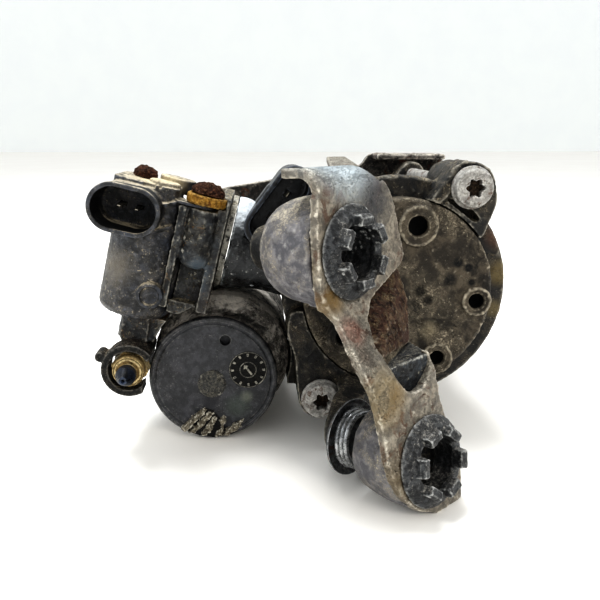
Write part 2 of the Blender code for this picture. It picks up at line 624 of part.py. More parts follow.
# ---- vent solenoid ----------------------------------------------------------
solenoid = cylinder("solenoid_housing", SOLENOID_R, 46, parent=HEAD, at=(SOLENOID_U, SOLENOID_Y, -32))
solenoid_shroud = plate("solenoid_shroud", stadium(3.7, 8.0), -15.0, 9.0, cutter=True, parent=HEAD,
                        at=(CONNECTOR_U, 0, CONNECTOR_W), axis=BACK, across=(1, 0, 0))
join(
    solenoid,
    solenoid_shroud,
    box("solenoid_lid", (-107, -2, 11.5), (-84.6, 24, 17.4), bevel=1.2, parent=HEAD, cutter=True),
    hull("solenoid_ear", [(u, y, w) for u, y in [(-86.5, -1.6), (-86.5, 7.6)] + ring_points(4.1, 12, SCREW) for w in (13.1, 14.2)],
         parent=HEAD, cutter=True),
    cylinder("solenoid_dome", 6.5, 5.0, segments=16, parent=HEAD, cutter=True, at=(-87.3, 17, 15)),
)
cut(
    solenoid,
    plate("solenoid_socket", stadium(3.7, 6.6), -17, 1.0, cutter=True, parent=HEAD,
          at=(CONNECTOR_U, 0, CONNECTOR_W), axis=BACK, across=(1, 0, 0)),
    cylinder("coil_room", SOLENOID_R - 1.7, 34, segments=ROUND, parent=HEAD, cutter=True, at=(SOLENOID_U, SOLENOID_Y, -34)),
    cylinder("ear_bore", 2.6, 12, segments=SMALL, parent=HEAD, cutter=True, at=(SCREW[0], SCREW[1], 10)),
    cylinder("lid_bore", 1.9, 4.5, segments=SMALL, parent=HEAD, cutter=True, at=(SCREW_SMALL[0], SCREW_SMALL[1], 14)),
    box("pin_way_1", (-103.4, 0, CONNECTOR_W - 0.75), (-101.0, 5, CONNECTOR_W + 0.75), parent=HEAD, cutter=True),
    box("pin_way_2", (-97.6, 0, CONNECTOR_W - 0.75), (-95.2, 5, CONNECTOR_W + 0.75), parent=HEAD, cutter=True),
)
finish(solenoid, "plastic")
for name, u in (("solenoid_pin_1", -102.2), ("solenoid_pin_2", -96.4)):
    finish(box(name, (u - 0.85, -7, CONNECTOR_W - 0.4), (u + 0.85, 4.6, CONNECTOR_W + 0.4), parent=HEAD), "brass")
finish(
    turned("solenoid_coil", [(10.9, -30), (10.9, -1.2), (5.6, -1.2), (5.6, -30)], steps=20, parent=HEAD, at=(SOLENOID_U, SOLENOID_Y, 0)),
    "copper",
)
finish(
    turned("solenoid_core", [(0, -0.5), (5.1, -0.5), (5.1, -9.5), (0, -9.5)], closed=False, steps=SMALL, parent=HEAD, at=(SOLENOID_U, SOLENOID_Y, 0)),
    "steel",
)
PLUNGER_FRAME = frame("plunger_frame", (0, 0, 0), Matrix.Rotation(ROLL, 4, "Y") @ Matrix.Translation(Vector((SOLENOID_U, SOLENOID_Y, -30)) * MM))
bpy.context.view_layer.update()
finish(
    turned("solenoid_plunger", [(0, 18.6), (5.1, 18.6), (5.1, 0.8), (2.0, -0.2), (0, -0.2)], closed=False, steps=SMALL, parent=PLUNGER_FRAME),
    "steel",
)

# ---- screws on the solenoid -------------------------------------------------
finish(
    turned("screw_ring", [(7.0, 14.5), (7.0, 17.8), (3.4, 17.8), (3.4, 14.5)], steps=20, parent=HEAD, at=(SCREW[0], SCREW[1], 0)),
    "brass",
)
finish(
    turned("solenoid_screw_large", [(0, 22.0), (3.6, 21.6), (5.6, 20.2), (6.0, 18.15), (2.0, 18.15), (2.0, 2.0), (0, 2.0)],
           closed=False, steps=SMALL, parent=HEAD, at=(SCREW[0], SCREW[1], 0)),
    "rusty_steel",
)
finish(
    turned("solenoid_screw_small", [(0, 21.6), (2.6, 21.3), (4.0, 20.2), (4.3, 17.8), (1.6, 17.8), (1.6, 14.6), (0, 14.6)],
           closed=False, steps=SMALL, parent=HEAD, at=(SCREW_SMALL[0], SCREW_SMALL[1], 0)),
    "rusty_steel",
)

# ---- outlet -----------------------------------------------------------------
outlet = cylinder("outlet_nut", 6.9, 9.6, segments=6, parent=HEAD, at=(OUTLET[0], 7.1, OUTLET[1]), axis=FRONT)
join(outlet, cylinder("outlet_thread", 2.9, 12, segments=SMALL, parent=HEAD, cutter=True, at=(OUTLET[0], 16, OUTLET[1]), axis=FRONT))
cut(outlet, cylinder("outlet_way", 2.2, 9, segments=SMALL, parent=HEAD, cutter=True, at=(OUTLET[0], 4, OUTLET[1]), axis=FRONT))
finish(outlet, "brass")
finish(
    turned("outlet_plug", [(0, -3.0), (1.8, -3.0), (1.8, 3.6), (3.6, 3.7), (3.6, 6.8), (1.0, 11.2), (0, 11.4)],
           closed=False, steps=SMALL, parent=HEAD, at=(OUTLET[0], -0.2, OUTLET[1]), axis=FRONT),
    "plastic",
)
guard = plate(
    "outlet_guard",
    xz(ring_points(9.8, 16, (0, 0), math.radians(40), math.radians(352)) + ring_points(7.4, 16, (0, 0), math.radians(352), math.radians(40))),
    -1.5, 7.0, parent=HEAD, at=(OUTLET[0], 0, OUTLET[1]), **FACING,
)
join(guard, box("guard_tab", (-13.0, -2.0, 1.0), (-9.2, 2.0, 5.0), parent=HEAD, cutter=True, at=(OUTLET[0], 0, OUTLET[1]), **FACING))
cut(
    guard,
    cylinder("guard_cap_room", DRYER_CAP_R + 0.8, 40, segments=LARGE, cutter=True, at=(DRYER_CAP[0], -20, DRYER_CAP[1]), axis=BACK),
)
finish(guard, "plastic")

# ---- dryer ------------------------------------------------------------------
# a solid start, then one clear room from the collar to the back
dryer_body = turned(
    "dryer_body",
    [(0, 14), (DRYER_BODY_R - 5, 14), (DRYER_BODY_R, 22), (DRYER_BODY_R, DRYER_BODY_Y[1] - 4), (DRYER_BODY_R - 4, DRYER_BODY_Y[1]), (0, DRYER_BODY_Y[1])],
    closed=False, steps=LARGE, at=(DRYER_BODY[0], 0, DRYER_BODY[1]), axis=BACK,
)
join(
    dryer_body,
    cylinder("dryer_collar", 24.2, 14, segments=LARGE, cutter=True, at=(DRYER_CAP[0], 11.4, DRYER_CAP[1]), axis=BACK),
)
cut(
    dryer_body,
    cylinder("dryer_mouth", 21.4, 16, segments=LARGE, cutter=True, at=(DRYER_CAP[0], 10, DRYER_CAP[1]), axis=BACK),
    cylinder("dryer_room_inner", 24.2, 68, segments=LARGE, cutter=True, at=(DRYER_BODY[0], 24, DRYER_BODY[1]), axis=BACK),
)
finish(dryer_body, "plastic")
dryer_cap = turned(
    "dryer_cap",
    [(0, 8.4), (3.6, 8.4), (4.2, DRYER_CAP_Y), (DRYER_CAP_R - 1.2, DRYER_CAP_Y), (DRYER_CAP_R, 9.2), (DRYER_CAP_R, 11.0), (20.3, 11.0), (20.3, 12.7),
     (19.6, 12.7), (19.6, 14.7), (20.3, 14.7), (20.3, 16.6), (0, 16.6)],
    closed=False, steps=LARGE, at=(DRYER_CAP[0], 0, DRYER_CAP[1]), axis=BACK,
)
cut(dryer_cap, cylinder("drain_hole", 2.1, 5, segments=SMALL, cutter=True, at=(DRYER_CAP[0] + 4.9, 6, DRYER_CAP[1] + 15.6), axis=BACK))
finish(dryer_cap, "plastic")
seal_section = [(20.45 + 0.45 * math.cos(a), 13.7 + 0.6 * math.sin(a)) for a in (2 * math.pi * i / 6 for i in range(6))]
finish(turned("dryer_seal", seal_section, steps=ROUND, at=(DRYER_CAP[0], 0, DRYER_CAP[1]), axis=BACK), "rubber")
finish(coil("dryer_spring", 14, 1.6, 6.6, 3.5, at=(-70, 17.2, -32.5), axis=BACK), "steel")
finish(turned("dryer_cartridge", [(0, 25), (20.5, 25), (22, 26.5), (22, 89), (0, 89)], closed=False, steps=ROUND, at=(DRYER_BODY[0], 0, DRYER_BODY[1]), axis=BACK), "desiccant")

# ---- front bracket ----------------------------------------------------------
front_bracket = plate(
    "front_bracket",
    [(-14.6, 17.6), (12.2, 17.6), (18.6, 20.8), (21.8, 17.6), (24.4, 12.9), (26.6, 5.7), (28.6, -1.2), (29.7, -5.3),
     (27.7, -7.8), (19.8, -11.4), (12.5, -14.9), (8.2, -17.9), (-2, -18.4), (-13.6, -16), (-15.2, -10), (-15.4, 6)],
    -PLATE, 0, parent=SEAT_U,
)
lower_plate = plate(
    "lower_plate",
    [(-23.2, 31.8), (-20.7, 25.2), (-19.8, 19.8), (-18.8, 12.6), (-18.7, 6.0), (-16.9, -1.7), (-13.5, -8.0), (-7.3, -13.9), (0.5, -17.6), (5.6, -19.4), (11.0, -20.2),
     (13.3, -18.6), (15.0, -13.3), (15.9, -5.4), (14.9, 1.7), (12.2, 7.9), (9.7, 13.9), (8.6, 20.2), (8.2, 26.6), (5.8, 33.6), (4.4, 34.4), (6.0, 30.8), (5.3, 27.5),
     (3.4, 25.0), (0.4, 23.0), (-2.7, 22.6), (-6.3, 23.7), (-11.7, 28.8)],
    -PLATE, 0, parent=SEAT_L, cutter=True,
)


def in_world(origin, normal, across, points):
    turn = turn_to(normal, across)
    return [tuple(origin + turn @ Vector(p)) for p in points]


IN, OUT = -PLATE + 0.15, -0.15     # just inside both faces of a plate
STRIP_NORMAL = Vector((0.66, -0.74, 0.14)).normalized()
STRIP = (((-28.4, -46.2, 3.6), (-17.6, -35.4, 1.8)), ((-25.2, -51.4, -2.9), (-16.2, -42.8, -5.7)), ((-21.2, -55.5, -11.1), (-11.8, -48.9, -14.0)))


def thick(points, normal, low, high):
    return [tuple(Vector(p) + normal * d) for p in points for d in (low, high)]


# the strip between the two plates, in three lengths that run a little into each other
ramp_a = hull(
    "bracket_ramp_a",
    in_world(UPPER_SEAT, UPPER_NORMAL, (1, 1, 0), [(t, k, s) for t, k in ((-15.1, -9.8), (11.2, -12.6), (8.2, -17.3), (-14.3, -14)) for s in (IN, OUT)])
    + thick(STRIP[0], STRIP_NORMAL, -2.9, -0.1),
    cutter=True,
)
ramp_b = hull(
    "bracket_ramp_b",
    thick([Vector(p) + Vector((-0.2, 0.3, 0.9)) for p in STRIP[0]], STRIP_NORMAL, -2.85, -0.2) + thick(STRIP[1], STRIP_NORMAL, -2.9, -0.1),
    cutter=True,
)
ramp_c = hull(
    "bracket_ramp_c",
    thick([Vector(p) + Vector((-0.3, 0.5, 0.8)) for p in STRIP[1]], STRIP_NORMAL, -2.85, -0.2)
    + in_world(LOWER_SEAT, LOWER_NORMAL, (0.775, 0.60, 0), [(t, k, s) for t, k in ((-23.0, 31.6), (-21.0, 26.4), (-11.9, 28.7), (-8.0, 25.1)) for s in (IN, OUT)]),
    cutter=True,
)
# the bent web behind the strip and the drawn pocket behind the notch
WEB_NORMAL = Vector((0.80, -0.50, 0.33)).normalized()
bent_web = hull(
    "bracket_web",
    thick([(-15.4, -25.2, 7.6), (-3.6, -12.4, 12.9), (-0.7, -16.0, 2.6), (-1.7, -20.0, -5.3), (-0.9, -23.0, -10.7), (-13.9, -42.6, -9.0), (-18.2, -34.0, -0.4)], WEB_NORMAL, -2.3, 0),
    cutter=True,
)
POCKET_NORMAL = Vector((0.42, -0.88, 0.22)).normalized()
drawn_pocket = hull(
    "bracket_pocket",
    thick([(-0.9, -23.0, -10.7), (1.6, -37.2, -9.6), (2.7, -34.6, -23.9), (-8.8, -41.7, -21.3), (-13.0, -44.6, -12.0)], POCKET_NORMAL, -2.2, 0),
    cutter=True,
)
# the top edge is bent back in a wide curve, then runs on as a rail that reaches the rear bracket
RAIL_Z = (43.2, 46.4)
BEND = 8.5
bend_outline = [(16.9, -PLATE + 0.1)] + [(17 + (BEND - PLATE) * math.sin(a), -BEND + (BEND - PLATE) * math.cos(a)) for a in (math.radians(15 * i) for i in range(1, 7))]
bend_outline += [(17 + BEND - PLATE, -14.5), (17 + BEND, -14.5)] + [(17 + BEND * math.sin(a), -BEND + BEND * math.cos(a)) for a in (math.radians(15 * i) for i in range(6, 0, -1))] + [(16.9, -0.1)]
bend = plate("bracket_bend", bend_outline, -13.6, 18.3, parent=SEAT_U, cutter=True, axis=(1, 0, 0), across=(0, 1, 0))
cut(bend, hull("bend_slope", [(t, k, s) for t, k in ((10.6, 27.5), (32, 27.5), (32, 10), (19.6, 17.3)) for s in (-20, 3)], parent=SEAT_U, cutter=True))
fold_points = in_world(
    UPPER_SEAT, UPPER_NORMAL, (1, 1, 0),
    [(t, k, s) for t in (-13.0, 11.4) for k in (17 + BEND - PLATE + 0.15, 17 + BEND - 0.15) for s in (-11.0,)],
) + [(x, -12, z) for x in (-28.8, -17.2) for z in (RAIL_Z[0] + 0.2, RAIL_Z[1] - 0.2)]
fold = hull("bracket_fold", fold_points, cutter=True)
rail = hull("bracket_rail", [(x, y, z) for x, y in ((-27, -13), (-17, -13), (-15, 108), (-5, 108)) for z in RAIL_Z], cutter=True)
join(front_bracket, bend, lower_plate, ramp_a, ramp_b, ramp_c, bent_web, drawn_pocket, fold, rail)
cut(
    front_bracket,
    cylinder("upper_seat_hole", 11.3, 12, segments=16, parent=SEAT_U, cutter=True, at=(0, 0, -7)),
    cylinder("lower_seat_hole", 11.3, 12, segments=16, parent=SEAT_L, cutter=True, at=(0, 0, -7)),
    cylinder("upper_washer_room", WASHER_R + 0.5, 9, segments=ROUND, parent=SEAT_U, cutter=True, at=(0, 0, 0.02)),
    box("floor_room", (-60, -90, -80), (60, 0, FLOOR_Z), cutter=True),
    cylinder("lower_washer_room", WASHER_R + 0.5, 9, segments=ROUND, parent=SEAT_L, cutter=True, at=(0, 0, 0.02)),
)
finish(front_bracket, "rusty_steel")

# ---- isolators --------------------------------------------------------------
def isolator_clip(name, parent, depth):
    clip = turned(
        name, [(WASHER_R, GAP), (WASHER_R, 1.9), (10.9, 2.2), (10.9, 4.4), (9.2, 4.4), (9.2, -depth), (10.9, -depth), (10.9, GAP)],
        steps=20, parent=parent,
    )
    fingers = []
    for i in range(6):
        a = 2 * math.pi * (i + 0.5) / 6
        turn = Matrix.Rotation(a, 4, "Z")
        points = [turn @ Vector(p) for p in (
            (9.2, -2.9, 3.6), (9.2, 2.9, 3.6), (10.9, -2.9, 3.6), (10.9, 2.9, 3.6),
            (9.6, -2.5, 9.4), (9.6, 2.5, 9.4), (12.0, -2.5, 8.6), (12.0, 2.5, 8.6))]
        fingers.append(hull(f"{name}_finger_{i + 1}", [tuple(p) for p in points], parent=parent, cutter=True))
    join(clip, *fingers)
    return finish(clip, "plastic")


isolator_clip("upper_isolator_clip", SEAT_U, 9.0)
isolator_clip("lower_isolator_clip", SEAT_L, 5.5)
finish(
    turned("upper_isolator_cup", [(17.0, -PLATE - GAP), (17.2, -12), (16.2, -17), (14.5, -20.6), (6.0, -20.6), (6.0, -17.5), (11.3, -17.5), (11.3, -PLATE - GAP)],
           steps=ROUND, parent=SEAT_U),
    "rubber",
)
lower_cup = turned(
    "lower_isolator_cup",
    [(15.5, 0.5), (16.0, -9), (15.2, -15), (13.4, -22.6), (6.0, -22.6), (6.0, -19.5), (12.9, -19.5), (12.9, 0.5)],
    steps=ROUND, parent=SPRING_L,
)
cut(lower_cup, box("lower_cup_face", (-40, -40, -PLATE - GAP), (40, 40, 20), parent=SEAT_L, cutter=True))
finish(lower_cup, "rubber")
finish(coil("upper_isolator_spring", 6.2, 1.5, 5.3, 2.6, parent=SEAT_U, at=(0, 0, -28.4), axis=(0, 0, 1)), "steel")
finish(coil("lower_isolator_spring", 9.6, 2.0, 8.0, 3.2, end_radius=9.0, parent=SPRING_L, at=(0, 0, -33.1), axis=(0, 0, 1)), "steel")
finish(turned("upper_isolator_dish", [(0, -30.3), (7.8, -30.3), (9.4, -29.1), (9.4, -28.2), (8.0, -28.8), (0, -28.8)], closed=False, steps=20, parent=SEAT_U), "steel")
finish(turned("lower_isolator_dish", [(0, -34.2), (11.3, -34.2), (13.2, -32.4), (13.2, -31.6), (11.5, -33.5), (0, -33.5)], closed=False, steps=20, parent=SPRING_L), "steel")

# ---- rear bracket -----------------------------------------------------------
REAR_PLATE_Y = (105.0, 108.0)
REAR_PIN = (6.0, 22.0)
rear_bracket = plate(
    "rear_bracket",
    xz([(-70, 30.6), (-44, 35.0), (-24, 39.2), (-11.6, 41.4), (2, 41.4), (6, 48), (42, 48), (46, 44), (46, 12), (40, -8), (40, FLOOR_Z + 0.4), (22, FLOOR_Z + 0.4), (22, -10), (12, 4), (-10, 8), (-40, 23), (-70, 21.5)]),
    REAR_PLATE_Y[0], REAR_PLATE_Y[1], holes=[xz(ring_points(9.7, 24, REAR_PIN))], **FACING,
)
join(
    rear_bracket,
    box("rear_flange_right", (43.2, 90, 29), (45.8, 106.4, 43.8), cutter=True),
    box("rear_flange_top", (8, 91, 45.3), (42.3, 106.8, 47.8), cutter=True),
    box("rear_foot", (22.3, 96, FLOOR_Z), (39.7, 106.1, FLOOR_Z + 2.7), cutter=True),
    plate("rear_eye", ring_points(12.5, 24), -0.5, 3.2, cutter=True, at=(REAR_PIN[0], REAR_PLATE_Y[0], REAR_PIN[1]), **FACING),
)
cut(
    rear_bracket,
    cylinder("rear_eye_hole", 9.8, 12, segments=16, cutter=True, at=(REAR_PIN[0], 100, REAR_PIN[1]), axis=BACK),
    box("rail_room", (-30, 90, RAIL_Z[0] - GAP), (0, 120, 60), cutter=True),
)
finish(rear_bracket, "rusty_steel")
finish(
    turned("rear_isolator_ring",
           [(13.0, 101.5), (13.0, 104.1), (9.4, 104.1), (9.4, 108.6), (13.0, 108.6), (13.0, 111.5), (6.5, 111.5), (6.5, 101.5)],
           steps=20, at=(REAR_PIN[0], 0, REAR_PIN[1]), axis=BACK),
    "rubber",
)
finish(
    turned("rear_isolator_stud", [(0, 98.4), (5.6, 98.4), (5.6, 99.4), (3.6, 99.4), (3.6, 113.0), (3.0, 114.0), (0, 114.0)],
           closed=False, steps=SMALL, at=(REAR_PIN[0], 0, REAR_PIN[1]), axis=BACK),
    "steel",
)
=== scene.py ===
import json
import math

import bmesh
import bpy
from mathutils import Matrix, Vector, geometry, noise

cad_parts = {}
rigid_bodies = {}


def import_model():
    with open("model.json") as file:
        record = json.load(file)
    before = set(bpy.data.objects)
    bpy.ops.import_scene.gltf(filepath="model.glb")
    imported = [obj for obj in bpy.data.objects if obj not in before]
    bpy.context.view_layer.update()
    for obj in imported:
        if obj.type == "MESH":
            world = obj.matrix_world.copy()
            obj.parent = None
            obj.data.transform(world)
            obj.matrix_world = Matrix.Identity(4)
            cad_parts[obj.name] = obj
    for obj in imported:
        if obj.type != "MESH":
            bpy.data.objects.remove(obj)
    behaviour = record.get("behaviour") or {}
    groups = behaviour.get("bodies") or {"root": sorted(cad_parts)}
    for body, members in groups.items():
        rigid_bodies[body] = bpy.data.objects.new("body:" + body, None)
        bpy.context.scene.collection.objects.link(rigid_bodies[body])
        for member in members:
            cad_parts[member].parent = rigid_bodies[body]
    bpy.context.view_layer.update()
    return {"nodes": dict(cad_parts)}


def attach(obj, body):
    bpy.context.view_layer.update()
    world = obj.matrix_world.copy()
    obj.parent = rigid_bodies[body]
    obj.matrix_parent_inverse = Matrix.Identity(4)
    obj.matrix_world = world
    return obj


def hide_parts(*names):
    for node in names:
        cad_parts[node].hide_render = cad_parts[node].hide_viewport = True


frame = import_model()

# Everything below is in millimetres in the CAD's own frame and is turned to metres by MM.
MM = 0.001
SCENE = bpy.context.scene
TEMP = bpy.data.collections.new("temp")
SCENE.collection.children.link(TEMP)

ROLL = math.radians(14.5)
COVER_R, COVER_THICK = 35.0, 6.7
FLANGE_R, CASE_R, CASE_BACK_Y, CASE_BORE_R = 42.5, 39.5, 46.0, 34.5
CRANK_Y, BARREL_R, BARREL_FLANGE_R, BARREL_END, BORE_R = 27.0, 16.5, 18.0, 64.0, 13.3
MOTOR_R = 38.0
FLOOR_Z = -59.2
GAP = 0.35
BOLT_UPPER, BOLT_LOWER = (24.4, 38.5), (-28.2, -39.9)
BOLT_HEAD_R, BOLT_SHANK_R, BOLT_END_Y = 7.6, 3.0, 91.0
DRYER_CAP, DRYER_CAP_R, DRYER_CAP_Y = (-69.0, -34.5), 24.6, 8.0
DRYER_BODY, DRYER_BODY_R = (-66.0, -30.0), 27.0
SOLENOID_U, SOLENOID_Y, SOLENOID_R = -93.0, 10.0, 13.0
CONNECTOR_U, CONNECTOR_W = -99.3, 8.4
SCREW, SCREW_SMALL, OUTLET = (-75.0, 2.6), (-98.7, 14.0), (-89.1, -50.7)
VALVE_U = -BARREL_END - GAP - 2
MC = (-43.5, 32.0)
MC_TILT = math.radians(52.4)
MC_ACROSS = (math.cos(MC_TILT), 0, math.sin(MC_TILT))
UPPER_SEAT = Vector((-23.3, -35.1, 22.2))
UPPER_NORMAL = Vector((0.7053, -0.7053, 0.0705)).normalized()
LOWER_SEAT = Vector((1.0, -46.2, -41.8))
LOWER_NORMAL = Vector((0.60, -0.775, 0.20)).normalized()
LOWER_SPRING_SEAT = Vector((2.1, -46.2, -41.8))
LOWER_SPRING = Vector((0.683, -0.726, 0.089)).normalized()
PLATE, WASHER_R = 3.0, 14.5
REAR_PIN = (6.0, 22.0)

BACK, FRONT, LEFT = (0, 1, 0), (0, -1, 0), (-1, 0, 0)
FACING = dict(axis=BACK, across=(1, 0, 0))


def turn_to(axis, across=None):
    z = Vector(axis).normalized()
    if across is None:
        across = (1, 0, 0) if abs(z.x) < 0.9 else (0, 1, 0)
    x = (Vector(across) - z * z.dot(Vector(across))).normalized()
    y = z.cross(x)
    return Matrix((x, y, z)).transposed().to_4x4()


def placed(at, rotation):
    return Matrix.Translation(Vector(at)) @ rotation


WORLD = Matrix.Identity(4)
HEAD = Matrix.Rotation(ROLL, 4, "Y")
SEAT_U = placed(UPPER_SEAT, turn_to(UPPER_NORMAL, (1, 1, 0)))
SEAT_L = placed(LOWER_SEAT, turn_to(LOWER_NORMAL, (0.775, 0.60, 0)))
SPRING_L = placed(LOWER_SPRING_SEAT, turn_to(LOWER_SPRING, (1, 1, 0)))


# ---- shapes -----------------------------------------------------------------
def where_is(parent=WORLD, at=(0, 0, 0), axis=(0, 0, 1), across=None):
    return parent @ Matrix.Translation(Vector(at)) @ turn_to(axis, across)


def solid(verts, faces, **where):
    matrix = where_is(**where)
    bm = bmesh.new()
    made = [bm.verts.new((matrix @ Vector(v)) * MM) for v in verts]
    for face in faces:
        try:
            bm.faces.new([made[i] for i in face])
        except ValueError:
            pass
    bmesh.ops.recalc_face_normals(bm, faces=bm.faces)
    mesh = bpy.data.meshes.new("shape")
    bm.to_mesh(mesh)
    bm.free()
    obj = bpy.data.objects.new("shape", mesh)
    TEMP.objects.link(obj)
    return obj


def lathe(profile, steps=96, closed=True, **where):
    """Turned about its own Z; profile is (radius, height). An open one starts and ends on the axis."""
    verts, rings = [], []
    for r, h in profile:
        if r < 1e-6:
            rings.append([len(verts)])
            verts.append((0, 0, h))
        else:
            rings.append(list(range(len(verts), len(verts) + steps)))
            verts += [(r * math.cos(2 * math.pi * i / steps), r * math.sin(2 * math.pi * i / steps), h) for i in range(steps)]
    faces = []
    pairs = list(zip(rings, rings[1:])) + ([(rings[-1], rings[0])] if closed else [])
    for a, b in pairs:
        for i in range(steps):
            j = (i + 1) % steps
            if len(a) == 1 and len(b) == 1:
                continue
            if len(a) == 1:
                faces.append((a[0], b[i], b[j]))
            elif len(b) == 1:
                faces.append((a[i], a[j], b[0]))
            else:
                faces.append((a[i], a[j], b[j], b[i]))
    return solid(verts, faces, **where)


def cyl(radius, length, top=None, steps=64, **where):
    top = radius if top is None else top
    return lathe([(0, 0), (radius, 0), (top, length), (0, length)], steps, closed=False, **where)


def block(low, high, **where):
    (a, b, c), (d, e, f) = low, high
    verts = [(a, b, c), (d, b, c), (d, e, c), (a, e, c), (a, b, f), (d, b, f), (d, e, f), (a, e, f)]
    faces = [(0, 1, 2, 3), (4, 5, 6, 7), (0, 1, 5, 4), (1, 2, 6, 5), (2, 3, 7, 6), (3, 0, 4, 7)]
    return solid(verts, faces, **where)


def hull(points, **where):
    matrix = where_is(**where)
    bm = bmesh.new()
    for point in points:
        bm.verts.new((matrix @ Vector(point)) * MM)
    result = bmesh.ops.convex_hull(bm, input=bm.verts)
    spare = [v for v in result["geom_interior"] if isinstance(v, bmesh.types.BMVert)]
    bmesh.ops.delete(bm, geom=spare, context="VERTS")
    bmesh.ops.recalc_face_normals(bm, faces=bm.faces)
    mesh = bpy.data.meshes.new("shape")
    bm.to_mesh(mesh)
    bm.free()
    obj = bpy.data.objects.new("shape", mesh)
    TEMP.objects.link(obj)
    return obj


def slab(outline, low, high, holes=(), **where):
    loops = [list(outline), *[list(h) for h in holes]]
    flat = [p for loop in loops for p in loop]
    tris = geometry.tessellate_polygon([[Vector((x, y, 0)) for x, y in loop] for loop in loops])
    count = len(flat)
    verts = [(x, y, low) for x, y in flat] + [(x, y, high) for x, y in flat]
    faces = [tuple(t) for t in tris] + [tuple(i + count for i in t) for t in tris]
    start = 0
    for loop in loops:
        for i in range(len(loop)):
            j = (i + 1) % len(loop)
            faces.append((start + i, start + j, start + j + count, start + i + count))
        start += len(loop)
    return solid(verts, faces, **where)


def ring(radius, count=48, centre=(0, 0), start=0.0, end=2 * math.pi):
    whole = abs(end - start - 2 * math.pi) < 1e-9
    steps = count if whole else count - 1
    return [(centre[0] + radius * math.cos(start + (end - start) * i / steps),
             centre[1] + radius * math.sin(start + (end - start) * i / steps)) for i in range(count)]


def stadium(half, radius, count=25):
    return ring(radius, count, (half, 0), -math.pi / 2, math.pi / 2) + ring(radius, count, (-half, 0), math.pi / 2, 3 * math.pi / 2)


def lobed(radius, depth, count=72):
    return [((radius + depth * math.cos(6 * a)) * math.cos(a), (radius + depth * math.cos(6 * a)) * math.sin(a))
            for a in (2 * math.pi * i / count for i in range(count))]


def xz(points):
    return [(x, -z) for x, z in points]


def rounded(points, radius, closed=True, n=4):
    """The outline with each corner turned into a small curve. An open one keeps its ends."""
    out, count = [], len(points)
    for i, c in enumerate(points):
        if not closed and i in (0, count - 1):
            out.append(c)
            continue
        c, a, b = Vector(c), Vector(points[i - 1]), Vector(points[(i + 1) % count])
        la, lb = (a - c).length, (b - c).length
        p, q = c + (a - c) * min(radius / la, 0.45), c + (b - c) * min(radius / lb, 0.45)
        for k in range(n + 1):
            t = k / n
            out.append(tuple((1 - t) ** 2 * p + 2 * t * (1 - t) * c + t * t * q))
    return out


def evaluated(obj):
    graph = bpy.context.evaluated_depsgraph_get()
    return bpy.data.meshes.new_from_object(obj.evaluated_get(graph), depsgraph=graph)


def smooth_all(mesh, angle=None):
    mesh.shade_smooth()
    if angle is not None:
        mesh.set_sharp_from_angle(angle=math.radians(angle))


def combine(adds, cuts=()):
    base = adds[0]
    for other, operation in [(o, "UNION") for o in adds[1:]] + [(o, "DIFFERENCE") for o in cuts]:
        step = base.modifiers.new("step", "BOOLEAN")
        step.operation = operation
        step.object = other
        step.solver = "MANIFOLD"
    mesh = evaluated(base)
    for o in [*adds, *cuts]:
        bpy.data.objects.remove(o, do_unlink=True)
    obj = bpy.data.objects.new("shape", mesh)
    TEMP.objects.link(obj)
    return obj


def cast(name, adds, cuts=(), voxel=0.5, soften=4, after=()):
    """One body with the soft edges and fillets of a casting or a moulding. after: cut once it is soft, so its edges stay crisp."""
    obj = combine(adds, cuts)
    remesh = obj.modifiers.new("remesh", "REMESH")
    remesh.mode = "VOXEL"
    remesh.voxel_size = voxel * MM
    if soften:
        step = obj.modifiers.new("soften", "SMOOTH")
        step.factor = 0.5
        step.iterations = soften
    mesh = evaluated(obj)
    bpy.data.objects.remove(obj, do_unlink=True)
    obj = bpy.data.objects.new(name, mesh)
    if after:
        TEMP.objects.link(obj)
        done = combine([obj], list(after))
        mesh = done.data
        bpy.data.objects.remove(done, do_unlink=True)
        obj = bpy.data.objects.new(name, mesh)
    smooth_all(mesh, 40 if after else None)
    SCENE.collection.objects.link(obj)
    return obj


def crisp(name, adds, cuts=(), angle=35, bevel=0.0):
    """One body as it is drawn, shaded smooth where it is round."""
    obj = combine(adds, cuts) if len(adds) > 1 or cuts else adds[0]
    if bevel:
        step = obj.modifiers.new("bevel", "BEVEL")
        step.width = bevel * MM
        step.segments = 2
        step.limit_method = "ANGLE"
        step.angle_limit = math.radians(40)
    mesh = evaluated(obj)
    bpy.data.objects.remove(obj, do_unlink=True)
    smooth_all(mesh, angle)
    obj = bpy.data.objects.new(name, mesh)
    SCENE.collection.objects.link(obj)
    return obj


def weather(obj, amount, size, crust=0.0, crust_size=2.5, where=None, seed=0.0):
    """Small lumps and pits in the surface itself: amount and crust are heights in mm, size is their width."""
    mesh = obj.data
    normals = [Vector(n.vector) for n in mesh.vertex_normals]
    shift = Vector((seed, seed * 1.7, seed * 0.3))
    for v, n in zip(mesh.vertices, normals):
        p = v.co / MM
        k = 1.0 if where is None else where(p)
        if k <= 0:
            continue
        h = amount * noise.noise(p / size + shift) + amount * 0.5 * noise.noise(p / (size * 0.4) + shift)
        if crust:
            h += crust * max(0.0, noise.noise(p / crust_size + shift) - 0.12)
        v.co += n * (h * k * MM)
    mesh.update()
    return obj


